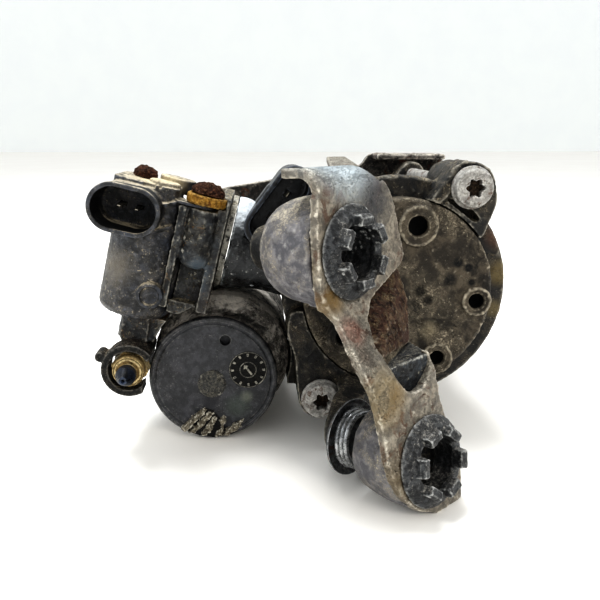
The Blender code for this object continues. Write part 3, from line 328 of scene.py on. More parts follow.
def helix(name, radius, wire, height, turns, end_radius=None, **where):
    """A compression spring standing on its own origin, with its last turn closed at each end."""
    per, matrix = 36, where_is(**where)
    count = int(turns * per) + 1
    end_radius = radius if end_radius is None else end_radius
    curve = bpy.data.curves.new(name, "CURVE")
    curve.dimensions = "3D"
    curve.bevel_depth = wire / 2 * MM
    curve.bevel_resolution = 5
    curve.use_fill_caps = True
    spline = curve.splines.new("POLY")
    spline.points.add(count - 1)
    pitch = (height - wire * 3.04) / (turns - 2)
    for i, point in enumerate(spline.points):
        t = i / per
        z = wire / 2 + min(t, 1.0) * wire * 1.02 + max(0.0, min(t, turns - 1.0) - 1.0) * pitch + max(0.0, t - (turns - 1.0)) * wire * 1.02
        r = radius + (end_radius - radius) * t / turns
        p = (matrix @ Vector((r * math.cos(2 * math.pi * t), r * math.sin(2 * math.pi * t), z))) * MM
        point.co = (*p, 1)
    drawn = bpy.data.objects.new(name, curve)
    TEMP.objects.link(drawn)
    mesh = evaluated(drawn)
    bpy.data.objects.remove(drawn, do_unlink=True)
    bm = bmesh.new()
    bm.from_mesh(mesh)
    bmesh.ops.remove_doubles(bm, verts=bm.verts, dist=0.000002)
    bmesh.ops.recalc_face_normals(bm, faces=bm.faces)
    bm.to_mesh(mesh)
    bm.free()
    smooth_all(mesh, 50)
    obj = bpy.data.objects.new(name, mesh)
    SCENE.collection.objects.link(obj)
    return obj


# ---- materials --------------------------------------------------------------
def rgb(r, g, b):
    """From the usual 0 to 255 values to linear ones."""
    return tuple(((c / 255 + 0.055) / 1.055) ** 2.4 if c > 10 else c / 255 / 12.92 for c in (r, g, b)) + (1.0,)


class Nodes:
    def __init__(self, name):
        self.material = bpy.data.materials.new(name)
        self.material.use_nodes = True
        self.tree = self.material.node_tree
        self.shader = self.tree.nodes["Principled BSDF"]
        self.coord = self.tree.nodes.new("ShaderNodeTexCoord").outputs["Object"]
        self.geometry = self.tree.nodes.new("ShaderNodeNewGeometry")

    def put(self, socket, value):
        if isinstance(value, bpy.types.NodeSocket):
            self.tree.links.new(value, socket)
        else:
            socket.default_value = value

    def noise(self, size, detail=6.0, rough=0.6, distortion=0.0, offset=0.0):
        """size is in mm."""
        node = self.tree.nodes.new("ShaderNodeTexNoise")
        node.noise_dimensions = "3D"
        coord = self.coord
        if offset:
            shift = self.tree.nodes.new("ShaderNodeVectorMath")
            shift.operation = "ADD"
            self.put(shift.inputs[0], coord)
            shift.inputs[1].default_value = (offset, offset * 0.7, offset * 1.3)
            coord = shift.outputs[0]
        self.put(node.inputs["Vector"], coord)
        node.inputs["Scale"].default_value = 1000.0 / size
        node.inputs["Detail"].default_value = detail
        node.inputs["Roughness"].default_value = rough
        node.inputs["Distortion"].default_value = distortion
        return node.outputs["Fac"]

    def cells(self, size, feature="F1", out="Distance"):
        node = self.tree.nodes.new("ShaderNodeTexVoronoi")
        node.feature = feature
        self.put(node.inputs["Vector"], self.coord)
        node.inputs["Scale"].default_value = 1000.0 / size
        return node.outputs[out]

    def ramp(self, value, low, high, soft=True):
        """0 below low, 1 above high, and the other way round if low is the larger."""
        node = self.tree.nodes.new("ShaderNodeMapRange")
        node.interpolation_type = "SMOOTHSTEP" if soft else "LINEAR"
        self.put(node.inputs["Value"], value)
        node.inputs["From Min"].default_value = low
        node.inputs["From Max"].default_value = high
        if low > high:
            node.inputs["From Min"].default_value, node.inputs["From Max"].default_value = high, low
            node.inputs["To Min"].default_value, node.inputs["To Max"].default_value = 1.0, 0.0
        return node.outputs["Result"]

    def math(self, operation, a, b=0.0, clamp=False):
        node = self.tree.nodes.new("ShaderNodeMath")
        node.operation = operation
        node.use_clamp = clamp
        self.put(node.inputs[0], a)
        self.put(node.inputs[1], b)
        return node.outputs[0]

    def mix(self, factor, a, b, blend="MIX"):
        node = self.tree.nodes.new("ShaderNodeMix")
        node.data_type = "RGBA"
        node.blend_type = blend
        self.put(node.inputs[0], factor)
        self.put(node.inputs[6], a)
        self.put(node.inputs[7], b)
        return node.outputs[2]

    def up(self, low, high):
        """1 where the surface faces up."""
        split = self.tree.nodes.new("ShaderNodeSeparateXYZ")
        self.put(split.inputs[0], self.geometry.outputs["Normal"])
        return self.ramp(split.outputs["Z"], low, high)

    def edge(self, low=0.505, high=0.56):
        return self.ramp(self.geometry.outputs["Pointiness"], low, high)

    def hollow(self, low=0.495, high=0.44):
        return self.ramp(self.geometry.outputs["Pointiness"], low, high)

    def near(self, centre, radius, soft):
        """1 inside a ball of this radius, in mm."""
        node = self.tree.nodes.new("ShaderNodeVectorMath")
        node.operation = "DISTANCE"
        self.put(node.inputs[0], self.coord)
        node.inputs[1].default_value = tuple(Vector(centre) * MM)
        return self.ramp(node.outputs["Value"], (radius + soft) * MM, (radius - soft) * MM)

    def bump(self, height, strength, distance=0.0003, after=None):
        node = self.tree.nodes.new("ShaderNodeBump")
        self.put(node.inputs["Height"], height)
        node.inputs["Strength"].default_value = strength
        node.inputs["Distance"].default_value = distance
        if after is not None:
            self.put(node.inputs["Normal"], after)
        return node.outputs[0]

    def done(self, colour, rough, normal=None, metallic=0.0, specular=0.5):
        self.put(self.shader.inputs["Base Color"], colour)
        self.put(self.shader.inputs["Roughness"], rough)
        self.put(self.shader.inputs["Metallic"], metallic)
        self.shader.inputs["Specular IOR Level"].default_value = specular
        if normal is not None:
            self.put(self.shader.inputs["Normal"], normal)
        return self.material


def grimy(name, base, shade, dust_and_highlight, *, amount=0.5, patch=9.0, speck=1.1, top=0.4, cavity=0.6, edge=None, edge_amount=0.4,
          rough=0.42, metallic=0.0, bump=0.5, rust=None, rust_amount=0.0, light=None, light_amount=0.0, spots=(), offset=0.0, specular=0.3, dark=0.5, film=0.3):
    """A used surface. base and shade are the clean surface's two tones. dust_and_highlight lies as fine crisp specks,
    thicker in patches, in hollows and on upward faces; where top is large, as on the barrel, that upward colour is a
    painted highlight. dark is how far oily patches go to black; edge shows where it is rubbed;
    rust and light are scattered stains and spots. spots are (centre, radius, soft, colour, strength): stains, and on a
    few surfaces painted shade, painted highlights and painted reflections."""
    n = Nodes(name)
    big = n.noise(patch, 4, 0.6, 0.4, offset)
    mid = n.noise(patch * 0.3, 6, 0.68, 0.3, offset + 1)
    fine = n.noise(speck, 5, 0.75, 0.0, offset + 2)
    grain = n.noise(0.4, 3, 0.7, 0.0, offset + 3)
    colour = n.mix(n.ramp(mid, 0.42, 0.6), base, shade)
    # cover: dust in patches and hollows plus the upward faces; with a large top, as on the barrel, the upward part is a
    # painted highlight
    cover = n.math("ADD", n.math("MULTIPLY", n.ramp(n.math("ADD", n.math("MULTIPLY", big, 0.6), n.math("MULTIPLY", mid, 0.4)), 0.42, 0.62), amount), n.math("MULTIPLY", n.up(0.2, 0.95), top * 0.55))
    cover = n.math("ADD", cover, n.math("MULTIPLY", n.hollow(), cavity * 0.5), clamp=True)
    specks = n.ramp(n.math("ADD", n.math("ADD", n.math("MULTIPLY", fine, 0.75), n.math("MULTIPLY", grain, 0.25)), n.math("MULTIPLY", cover, 0.24)), 0.60, 0.68)
    colour = n.mix(n.math("MULTIPLY", cover, film, clamp=True), colour, dust_and_highlight)
    colour = n.mix(n.math("MULTIPLY", specks, 0.85), colour, n.mix(n.ramp(mid, 0.35, 0.65), n.mix(0.35, dust_and_highlight, shade), dust_and_highlight))
    if rust is not None:
        stain = n.math("MULTIPLY", n.ramp(n.noise(patch * 0.8, 6, 0.7, 1.0, offset + 5), 0.64 - rust_amount * 0.3, 0.70 - rust_amount * 0.25), n.ramp(fine, 0.3, 0.5), clamp=True)
        colour = n.mix(stain, colour, n.mix(n.ramp(grain, 0.35, 0.65), rust, n.mix(0.5, rust, base)))
    if light is not None:
        flecks = n.math("MULTIPLY", n.ramp(n.noise(speck * 1.7, 3, 0.7, 0.0, offset + 9), 0.64, 0.68), n.ramp(big, 0.4, 0.55))
        colour = n.mix(n.math("MULTIPLY", flecks, light_amount, clamp=True), colour, light)
    if dark:
        oily = n.math("MULTIPLY", n.ramp(n.noise(patch * 0.55, 5, 0.65, 0.8, offset + 7), 0.53, 0.6), dark)
        colour = n.mix(oily, colour, n.mix(0.85, base, (0.0015, 0.0015, 0.0015, 1.0)))
    if edge is not None:
        colour = n.mix(n.math("MULTIPLY", n.math("MULTIPLY", n.edge(), n.ramp(mid, 0.36, 0.56)), edge_amount, clamp=True), colour, edge)
    for centre, radius, soft, tint, strength in spots:
        at = n.math("MULTIPLY", n.near(centre, radius, soft), n.math("MULTIPLY", n.ramp(fine, 0.25, 0.5), strength), clamp=True)
        colour = n.mix(at, colour, tint)
    roughness = n.math("ADD", n.math("MULTIPLY", n.math("MAXIMUM", specks, cover), 0.35), n.math("ADD", rough - 0.12, n.math("MULTIPLY", mid, 0.24)), clamp=True)
    normal = n.bump(n.math("ADD", grain, n.math("MULTIPLY", fine, 1.4)), bump, 0.00028)
    normal = n.bump(specks, bump * 0.8, 0.00028, normal)
    return n.done(colour, roughness, normal, metallic, specular)


CASE = grimy("case_casting", rgb(15, 14, 12), rgb(44, 40, 34), rgb(166, 154, 132), amount=0.42, patch=14, speck=0.9, top=0.6, edge=rgb(184, 178, 164), edge_amount=0.8,
             light=rgb(206, 198, 180), light_amount=0.5, rough=0.42, bump=0.9, dark=0.85, film=0.22, specular=0.4,
             spots=[((40.5, 7, 6), 4.5, 2.5, rgb(122, 106, 66), 0.6), ((38, 7, 20), 4.0, 3.0, rgb(92, 62, 40), 0.65), ((39, 7, -8), 3.0, 2.0, rgb(130, 114, 74), 0.45)])
COVER = grimy("cover_casting", rgb(48, 43, 36), rgb(84, 76, 64), rgb(176, 165, 145), amount=0.7, patch=24, speck=0.65, top=0.3, edge=rgb(196, 186, 166), edge_amount=0.8,
              light=rgb(222, 210, 184), light_amount=0.6, rough=0.55, bump=1.0, cavity=0.2, offset=2.0, dark=0.6, film=0.36,
              spots=[((19, 0, 5), 2.4, 1.2, rgb(14, 13, 12), 0.9), ((21.5, 0, 11.5), 1.8, 0.8, rgb(12, 11, 10), 1.0), ((25.5, 0, 9.5), 1.6, 0.7, rgb(10, 10, 10), 1.0),
                     ((8, 0, 1), 2.4, 1.4, rgb(16, 14, 12), 0.9), ((11, 0, -2.5), 1.8, 1.0, rgb(16, 14, 13), 0.9), ((27, 0, 4), 1.4, 0.7, rgb(14, 13, 12), 1.0), ((-20, 0, -10), 10.0, 6.0, rgb(22, 21, 20), 0.85),
                     # the last four spots, near-black at y 3.2, are painted shade inside the bosses' holes
                     ((12, 0, -14), 3.0, 2.0, rgb(168, 156, 130), 0.5), ((6, 3.2, 25), 4.0, 0.5, rgb(3, 3, 3), 2.0), ((29.1, 3.2, -3), 3.9, 0.5, rgb(3, 3, 3), 2.0), ((15.2, 3.2, -24.9), 3.9, 0.5, rgb(3, 3, 3), 2.0), ((-20, 3.2, -16), 3.9, 0.5, rgb(3, 3, 3), 2.0)])
# painted light: the barrel's near-white upward colour is a painted highlight from above, and its near-black base a
# painted shade beneath
BARREL = grimy("barrel_casting", rgb(8, 8, 9), rgb(24, 25, 27), rgb(214, 219, 222), amount=0.06, patch=14, top=2.2, edge=rgb(222, 228, 230), edge_amount=0.6,
               light=rgb(226, 226, 220), light_amount=0.6, rough=0.28, bump=0.6, offset=4.0, dark=0.15, film=0.85, specular=0.6)
HEADCAST = grimy("head_casting", rgb(14, 15, 17), rgb(52, 56, 60), rgb(168, 156, 130), amount=0.34, patch=8, top=0.9, edge=rgb(190, 186, 174), edge_amount=0.7,
                 light=rgb(214, 208, 190), light_amount=0.5, rough=0.38, bump=0.8, rust=rgb(118, 88, 48), rust_amount=0.16, offset=6.0, dark=0.8, film=0.25, specular=0.5,
                 # the two bluish spots at y -3 are a painted reflection on the front of the screw column
                 spots=[((-66, 8, -4), 9.0, 5.0, rgb(30, 17, 12), 0.85), ((-72, -3, 10), 4.5, 2.0, rgb(86, 98, 108), 0.6), ((-73.5, -3, 4), 4.5, 2.0, rgb(78, 90, 100), 0.55)])
SOLENOID = grimy("solenoid_plastic", rgb(12, 14, 18), rgb(44, 48, 58), rgb(190, 178, 154), amount=0.3, patch=9, speck=0.8, top=1.4, edge=rgb(112, 118, 130), edge_amount=0.25,
                 light=rgb(204, 196, 180), light_amount=0.5, rough=0.34, bump=0.6, offset=8.0, dark=0.75, film=0.3, specular=0.5,
                 # the last three spots, near-black at y -9.6, are painted shade inside the connector shroud
                 spots=[((-84, 8, 45), 9.0, 4.0, rgb(206, 190, 154), 0.7), ((-101, 0, 12), 6.0, 4.0, rgb(130, 122, 108), 0.5), ((-98, -9.6, 33.6), 8.2, 0.5, rgb(1, 1, 1), 2.0), ((-94, -9.6, 33), 8.2, 0.5, rgb(1, 1, 1), 2.0), ((-90, -9.6, 32.4), 8.2, 0.5, rgb(1, 1, 1), 2.0)])
CONNECTOR = grimy("connector_plastic", rgb(7, 7, 8), rgb(20, 21, 24), rgb(116, 116, 114), amount=0.08, patch=8, top=0.35, edge=rgb(112, 120, 134), edge_amount=0.5,
                  light=rgb(160, 156, 148), light_amount=0.12, rough=0.3, bump=0.35, offset=10.0, dark=0.6, film=0.12, specular=0.5)
DRYERCAP = grimy("dryer_cap_plastic", rgb(34, 35, 38), rgb(58, 58, 62), rgb(124, 122, 118), amount=0.3, patch=9, speck=0.7, top=0.25, edge=rgb(160, 158, 150), edge_amount=0.8,
                 light=rgb(150, 148, 142), light_amount=0.4, rough=0.36, bump=0.45, cavity=0.1, offset=12.0, dark=0.45, film=0.13, specular=0.5,
                 spots=[((-60, 8, -46), 4.0, 3.0, rgb(74, 84, 74), 0.5), ((-70.5, 8, -43.2), 3.4, 2.0, rgb(18, 18, 24), 0.8), ((-56.5, 8, -42), 2.0, 1.4, rgb(120, 124, 108), 0.5)])
TORN = grimy("torn_plastic", rgb(82, 76, 64), rgb(128, 120, 104), rgb(176, 170, 154), amount=0.2, patch=5.0, speck=1.8, top=0.3, cavity=0.0, edge=rgb(206, 202, 188), edge_amount=0.7,
             rough=0.6, bump=0.6, offset=70.0, dark=0.45, film=0.3)
# near-black: painted shade in the recess under the tear's splinters, and also the field under the mould dial
DARKTEAR = grimy("tear_shade_and_dial_field", rgb(12, 12, 13), rgb(30, 28, 26), rgb(84, 78, 66), amount=0.3, patch=3.0, speck=0.6, top=0.0, cavity=0.0, rough=0.6, bump=0.8, offset=72.0, dark=0.5, film=0.15)
GATE = grimy("gate_plastic", rgb(52, 52, 52), rgb(86, 84, 78), rgb(170, 164, 148), amount=0.5, patch=3.0, speck=0.6, top=0.4, cavity=0.3, edge=rgb(176, 172, 160), edge_amount=0.9,
             light=rgb(196, 190, 172), light_amount=0.5, rough=0.5, bump=0.8, offset=74.0, dark=0.5, film=0.2)
DRYERBODY = grimy("dryer_body_plastic", rgb(34, 32, 29), rgb(92, 87, 80), rgb(226, 218, 206), amount=0.8, patch=12, speck=0.9, top=1.1, edge=rgb(216, 210, 200), edge_amount=0.5,
                  light=rgb(240, 234, 222), light_amount=0.5, rough=0.55, bump=0.9, offset=14.0, dark=0.55, film=0.6)
BRACKET = grimy("bracket_steel", rgb(104, 98, 88), rgb(146, 138, 124), rgb(212, 204, 188), amount=0.42, patch=10, speck=0.5, top=0.7, cavity=0.2, edge=rgb(226, 218, 202), edge_amount=0.9,
                light=rgb(224, 216, 198), light_amount=0.5, rust=rgb(92, 66, 48), rust_amount=0.35, rough=0.42, bump=1.0, offset=16.0, dark=0.35, film=0.38, specular=0.45,
                spots=[((-36, -40, 18), 4.0, 3.0, rgb(104, 84, 30), 0.8), ((-31, -42, 9), 4.5, 2.5, rgb(118, 90, 28), 0.8), ((-23, -46, 1), 4.5, 2.5, rgb(160, 116, 100), 0.6), ((-21, -50, -6), 3.0, 2.0, rgb(80, 62, 48), 0.6),
                       ((-15, -52, -18), 8.0, 4.0, rgb(140, 122, 84), 0.6), ((-9, -52, -17), 4.0, 2.5, rgb(116, 90, 38), 0.7), ((-14, -56, -44), 8.0, 6.0, rgb(96, 78, 44), 0.6),
                       # the pale bluish spot at z 52 is a painted highlight on the fold and strip, and the dark grey
                       # one at z 37 a painted shade under them
                       ((-26, -28, 52), 14.0, 7.0, rgb(196, 206, 210), 0.95), ((-14, -26, 37), 8.0, 5.0, rgb(60, 62, 66), 0.8), ((-1, -17, 26), 5.0, 3.0, rgb(104, 92, 82), 0.5)])
# the web's darker brown is partly rust and partly painted shade for its recess behind the front strip
WEB_RUST_AND_SHADE = grimy("bracket_web_rust_and_painted_shade", rgb(70, 55, 42), rgb(110, 88, 68), rgb(164, 146, 116), amount=0.5, patch=6, speck=0.7, top=0.4, cavity=0.3, edge=rgb(186, 176, 158), edge_amount=0.8,
                 light=rgb(180, 164, 136), light_amount=0.45, rust=rgb(66, 40, 30), rust_amount=0.6, rough=0.6, bump=1.1, offset=76.0, dark=0.7, film=0.2)
# painted shade: near-black steel for the pocket behind the notch, with dust and rubbed edges on it
POCKET_SHADE = grimy("bracket_pocket_painted_shade", rgb(18, 20, 24), rgb(50, 56, 62), rgb(146, 140, 126), amount=0.3, patch=6, speck=0.8, top=0.7, cavity=0.2, edge=rgb(196, 194, 184), edge_amount=0.8,
                    light=rgb(196, 190, 172), light_amount=0.4, rough=0.34, bump=0.8, offset=78.0, dark=0.85, film=0.15, specular=0.5)
REARBRACKET = grimy("rear_bracket_steel", rgb(26, 25, 24), rgb(66, 62, 57), rgb(186, 178, 164), amount=0.36, patch=9, top=1.2, cavity=0.3, edge=rgb(206, 200, 188), edge_amount=0.8,
                    light=rgb(200, 190, 172), light_amount=0.5, rust=rgb(92, 60, 42), rust_amount=0.3, rough=0.55, bump=0.9, offset=18.0, dark=0.6, film=0.3)
RUBBER = grimy("isolator_rubber", rgb(84, 83, 86), rgb(120, 118, 120), rgb(188, 178, 158), amount=0.5, patch=12, speck=0.7, top=0.4, edge=rgb(178, 176, 170), edge_amount=0.4,
               light=rgb(184, 176, 160), light_amount=0.4, rough=0.55, bump=0.7, offset=20.0, specular=0.4, dark=0.2, film=0.35)
CLIP = grimy("clip_plastic", rgb(28, 29, 31), rgb(62, 64, 66), rgb(156, 152, 144), amount=0.3, patch=6, speck=0.8, top=0.6, edge=rgb(196, 196, 192), edge_amount=0.7,
             light=rgb(190, 186, 176), light_amount=0.3, rough=0.42, bump=0.6, offset=22.0, dark=0.5, film=0.25)
BOLT = grimy("bolt_steel", rgb(150, 147, 142), rgb(190, 187, 181), rgb(206, 200, 188), amount=0.4, patch=5, speck=0.6, top=0.3, edge=rgb(226, 224, 218), edge_amount=0.6,
             rust=rgb(92, 66, 50), rust_amount=0.35, rough=0.45, metallic=0.3, bump=1.0, offset=24.0, dark=0.3, film=0.2)
SCREWRUST = grimy("rusted_screw", rgb(46, 28, 22), rgb(84, 54, 40), rgb(150, 118, 96), amount=0.45, patch=3.0, speck=0.7, top=0.2, edge=rgb(150, 116, 92), edge_amount=0.5,
                  light=rgb(170, 150, 130), light_amount=0.6, rough=0.85, bump=1.4, offset=26.0, specular=0.15, dark=0.6, film=0.2)
BRASS = grimy("tarnished_brass", rgb(140, 118, 78), rgb(180, 158, 114), rgb(150, 136, 110), amount=0.35, patch=4, speck=0.6, top=0.2, edge=rgb(228, 210, 164), edge_amount=0.7,
              rust=rgb(82, 62, 38), rust_amount=0.35, rough=0.38, metallic=0.5, bump=0.8, offset=28.0, dark=0.4, film=0.15, specular=0.5)
GOLD = grimy("gold_ring", rgb(132, 96, 34), rgb(176, 138, 66), rgb(160, 132, 86), amount=0.35, patch=4, speck=0.6, top=0.3, edge=rgb(222, 192, 122), edge_amount=0.5,
             rust=rgb(84, 52, 30), rust_amount=0.4, rough=0.5, metallic=0.35, bump=1.0, offset=30.0, dark=0.4, film=0.2)
SPRING = grimy("spring_steel", rgb(126, 127, 127), rgb(176, 177, 177), rgb(150, 148, 142), amount=0.0, patch=6, top=0.0, cavity=0.0, rough=0.28, metallic=0.7, bump=0.03, offset=32.0, dark=0.0, film=0.0)
PLUG = grimy("tube_plastic", rgb(10, 12, 18), rgb(26, 34, 48), rgb(110, 106, 98), amount=0.2, patch=4, top=0.3, edge=rgb(110, 124, 150), edge_amount=0.6, rough=0.28, bump=0.3, offset=34.0, film=0.15)
GUARD = grimy("guard_plastic", rgb(10, 10, 10), rgb(28, 28, 27), rgb(150, 140, 122), amount=0.35, patch=4, speck=0.8, top=0.5, edge=rgb(150, 146, 138), edge_amount=0.6, rough=0.5, bump=0.8, offset=36.0, film=0.15)
MOTOR = grimy("motor_paint", rgb(26, 26, 26), rgb(44, 43, 41), rgb(130, 122, 108), amount=0.35, patch=12, top=0.6, edge=rgb(120, 116, 110), edge_amount=0.5,
              rust=rgb(90, 62, 44), rust_amount=0.1, rough=0.4, bump=0.4, offset=38.0)
PIN = grimy("terminal_metal", rgb(150, 146, 134), rgb(186, 180, 164), rgb(150, 140, 120), amount=0.15, patch=3, top=0.0, rough=0.3, metallic=0.9, bump=0.2, offset=40.0)
STEEL = grimy("ground_steel", rgb(120, 120, 120), rgb(150, 150, 150), rgb(100, 96, 88), amount=0.1, patch=6, top=0.0, cavity=0.3, rough=0.3, metallic=0.9, bump=0.25, offset=42.0)
LAMINATE = grimy("motor_laminate", rgb(86, 82, 78), rgb(116, 110, 104), rgb(90, 76, 60), amount=0.2, patch=5, top=0.0, rough=0.45, metallic=0.6, bump=0.4, offset=44.0)
COPPER = grimy("copper_winding", rgb(150, 82, 48), rgb(184, 108, 66), rgb(80, 56, 44), amount=0.2, patch=4, top=0.0, rough=0.35, metallic=0.8, bump=0.5, offset=46.0)
CARBON = grimy("carbon", rgb(24, 24, 24), rgb(42, 42, 42), rgb(60, 58, 56), amount=0.2, patch=4, top=0.0, rough=0.6, bump=0.4, offset=48.0)
FERRITE = grimy("ferrite", rgb(48, 48, 50), rgb(66, 66, 68), rgb(90, 86, 80), amount=0.2, patch=6, top=0.0, rough=0.6, bump=0.3, offset=50.0)
BEADS = grimy("desiccant_beads", rgb(196, 190, 176), rgb(214, 208, 196), rgb(170, 160, 144), amount=0.3, patch=4, top=0.0, rough=0.9, bump=0.8, offset=52.0)
ALUMINIUM = grimy("die_cast_aluminium", rgb(150, 150, 148), rgb(172, 172, 170), rgb(110, 106, 98), amount=0.15, patch=8, top=0.0, rough=0.4, metallic=0.8, bump=0.3, offset=54.0)
ORING = grimy("seal_rubber", rgb(22, 22, 22), rgb(36, 36, 36), rgb(60, 58, 56), amount=0.1, patch=4, top=0.0, rough=0.6, bump=0.2, offset=56.0)


def show(obj, look, body, stands_for=()):
    obj.data.materials.clear()
    obj.data.materials.append(look)
    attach(obj, body)
    if stands_for:
        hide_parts(*stands_for)
    return obj


# ---- crankcase --------------------------------------------------------------
case_profile = [(FLANGE_R - 0.8, 7.0), (FLANGE_R, 7.8), (FLANGE_R, 11.4), (FLANGE_R - 0.8, 12.2), (CASE_R + 0.4, 13.5), (CASE_R - 0.6, 16), (CASE_R - 0.6, 40), (CASE_R, 42),
                (CASE_R, CASE_BACK_Y), (11.4, CASE_BACK_Y), (11.4, 38.5), (CASE_BORE_R, 38.5), (CASE_BORE_R, 7.0)]
case = lathe(case_profile, 128, axis=BACK)
lug_upper = slab(xz(rounded([(9, 34), (12.5, 34.5), (19.5, 45), (23, 47.4), (27.5, 47), (31.5, 44.5), (33.4, 40), (34.5, 33), (30, 20), (20, 20), (10, 26)], 2.5)), 0.0, 11.5, **FACING)
lug_lower = slab(xz(rounded([(-40, -6), (-41, -14), (-38, -24), (-37, -38), (-36.4, -43), (-33, -47.5), (-28, -48.6), (-23, -47), (-19, -42), (-14, -38), (-8, -33), (-8, -20), (-30, -6)], 2.5)),
                 0.5, 11.5, **FACING)
lug_rim = slab(xz([(12.5, 34.5), (19.5, 45), (23, 47.4), (21.8, 48.0), (17.8, 45.6), (10.6, 35.4)]), -0.6, 11.5, **FACING)
arm_upper = hull([tuple(SEAT_U @ Vector((t, k, s))) for t, k in ring(7.5, 24) for s in (-36, -30.7)]
                 + [(x, y, z) for x, z in ((-41, 3), (-30, 2), (-36, 20), (-26, 28)) for y in (8, 16)])
arm_lower = hull([tuple(SPRING_L @ Vector((t, k + 1.5, s))) for t, k in ring(8.5, 24) for s in (-37.5, -34.6)]
                 + [(x, y, z) for x, z in ((-19, -37), (-17, -29), (2, -41), (2, -34)) for y in (7.6, 15)])
web = hull([(x, y, z) for y in (20, 34) for x, z in ((-40, -42), (-34, -42), (-40, -8), (-28, -8), (-28, -30))])
rib_upper = hull([(x, y, z) for x, z in ((9, 33), (12, 31), (19, 46), (22.5, 43.5)) for y in (-1.2, 12.2)])
boss_u = cyl(8.6, 30, at=(BOLT_UPPER[0], 0, BOLT_UPPER[1]), axis=BACK)
boss_l = cyl(8.6, 26, at=(BOLT_LOWER[0], 0.5, BOLT_LOWER[1]), axis=BACK)
fins = [hull([(math.cos(a + d) * r, y, math.sin(a + d) * r) for d in (-0.022, 0.022) for r in (36.5, 41.2) for y in (11, 45.2)])
        for a in [math.radians(k) for k in (-70, -50, -30, -12, 8, 28, 100, 118, 136)]]
pocket = slab(xz(rounded([(15, 34.6), (17.5, 33), (26.5, 26), (29, 27), (25, 31), (18, 34.5)], 1.5)), -5, 5.5, **FACING)
crankcase = cast(
    "crankcase_casting",
    [case, lug_upper, lug_lower, lug_rim, arm_upper, arm_lower, web, rib_upper, boss_u, boss_l, *fins],
    [cyl(COVER_R + GAP, 16, steps=96, at=(0, -9, 0), axis=BACK), cyl(CASE_BORE_R, 38.5, steps=96, axis=BACK), pocket,
     cyl(BARREL_R + GAP, 45, parent=HEAD, at=(-25, CRANK_Y, 0), axis=LEFT),
     cyl(DRYER_BODY_R + GAP, 90, at=(DRYER_BODY[0], 10, DRYER_BODY[1]), axis=BACK),
     cyl(BOLT_HEAD_R + 0.7, 9.5, at=(BOLT_LOWER[0], -9.0, BOLT_LOWER[1]), axis=BACK),
     slab(stadium(9.3, 7.0), 0.4, 60.0, at=(MC[0], 0, MC[1]), axis=BACK, across=MC_ACROSS)],
    voxel=0.5, soften=5,
    after=[cyl(BOLT_SHANK_R + 0.3, 60, steps=48, at=(BOLT_UPPER[0], -10, BOLT_UPPER[1]), axis=BACK),
           cyl(BOLT_SHANK_R + 0.3, 60, steps=48, at=(BOLT_LOWER[0], -10, BOLT_LOWER[1]), axis=BACK)],
)
weather(crankcase, 0.14, 3.0, 0.35, 2.2)
show(crankcase, CASE, "root", ["crankcase"])

# ---- crank cover ------------------------------------------------------------
BOSSES = (((6.0, 25.0), 7.4, 3.6), ((29.1, -3.0), 5.6, 2.9), ((15.2, -24.9), 6.2, 2.9), ((-20.0, -16.0), 6.2, 2.9))
cover = lathe([(0, 0), (COVER_R - 1.2, 0), (COVER_R - 0.4, 0.4), (COVER_R, 1.2), (COVER_R, COVER_THICK), (CASE_BORE_R - GAP, COVER_THICK), (CASE_BORE_R - GAP, 10), (31, 10),
               (31, COVER_THICK - 1), (0, COVER_THICK - 1)], 128, closed=False, axis=BACK)
bosses = [lathe([(0, 4), (r, 4), (r, -1.1), (r - 0.5, -1.6), (r - 1.2, -1.6), (r - 1.5, -1.2), (0, -1.2)], 64, closed=False, at=(x, 0, z), axis=BACK) for (x, z), r, h in BOSSES]
cover = cast(
    "crank_cover_casting", [cover, *bosses], [], voxel=0.42, soften=3,
    after=[lathe([(0, -4), (h + 0.7, -4), (h + 0.7, -1.4), (h, -0.5), (h, 3.8), (h * 0.4, 4.8), (0, 4.8)], 48, closed=False, at=(x, 0, z), axis=BACK) for (x, z), r, h in BOSSES],
)
weather(cover, 0.16, 2.6, 0.42, 1.8, where=lambda p: 1.0 if p.y < 1.0 else 0.2, seed=4.0)
show(cover, COVER, "root", ["crank_cover"])

# ---- through bolts ----------------------------------------------------------
SOCKET = grimy("bolt_recess", rgb(34, 28, 23), rgb(66, 54, 44), rgb(112, 98, 80), amount=0.4, patch=2.5, top=0.0, rough=0.85, bump=0.9, offset=60.0, specular=0.2)
for name, (x, z), seat in (("through_bolt_upper", BOLT_UPPER, 0.0), ("through_bolt_lower", BOLT_LOWER, 0.5)):
    f = seat - GAP
    profile = rounded([(0, f - 4.6), (3.6, f - 4.6), (BOLT_HEAD_R - 1.0, f - 4.3), (BOLT_HEAD_R - 0.6, f - 1.6), (BOLT_HEAD_R, f - 1.2), (BOLT_HEAD_R, f), (BOLT_SHANK_R, f),
                       (BOLT_SHANK_R, BOLT_END_Y - 1), (BOLT_SHANK_R - 1, BOLT_END_Y), (0, BOLT_END_Y)], 0.7, closed=False)
    bolt = crisp(name + "_torx", [lathe(profile, 96, closed=False, at=(x, 0, z), axis=BACK)],
                 [slab(lobed(3.0, 0.5), f - 6, f - 1.4, at=(x, 0, z), **FACING)], angle=40)
    show(bolt, BOLT, "root", [name])
    floor = crisp(name + "_recess", [slab(lobed(2.9, 0.48), f - 1.75, f - 1.45, at=(x, 0, z), **FACING)])
    weather(floor, 0.1, 1.0)
    show(floor, SOCKET, "root")

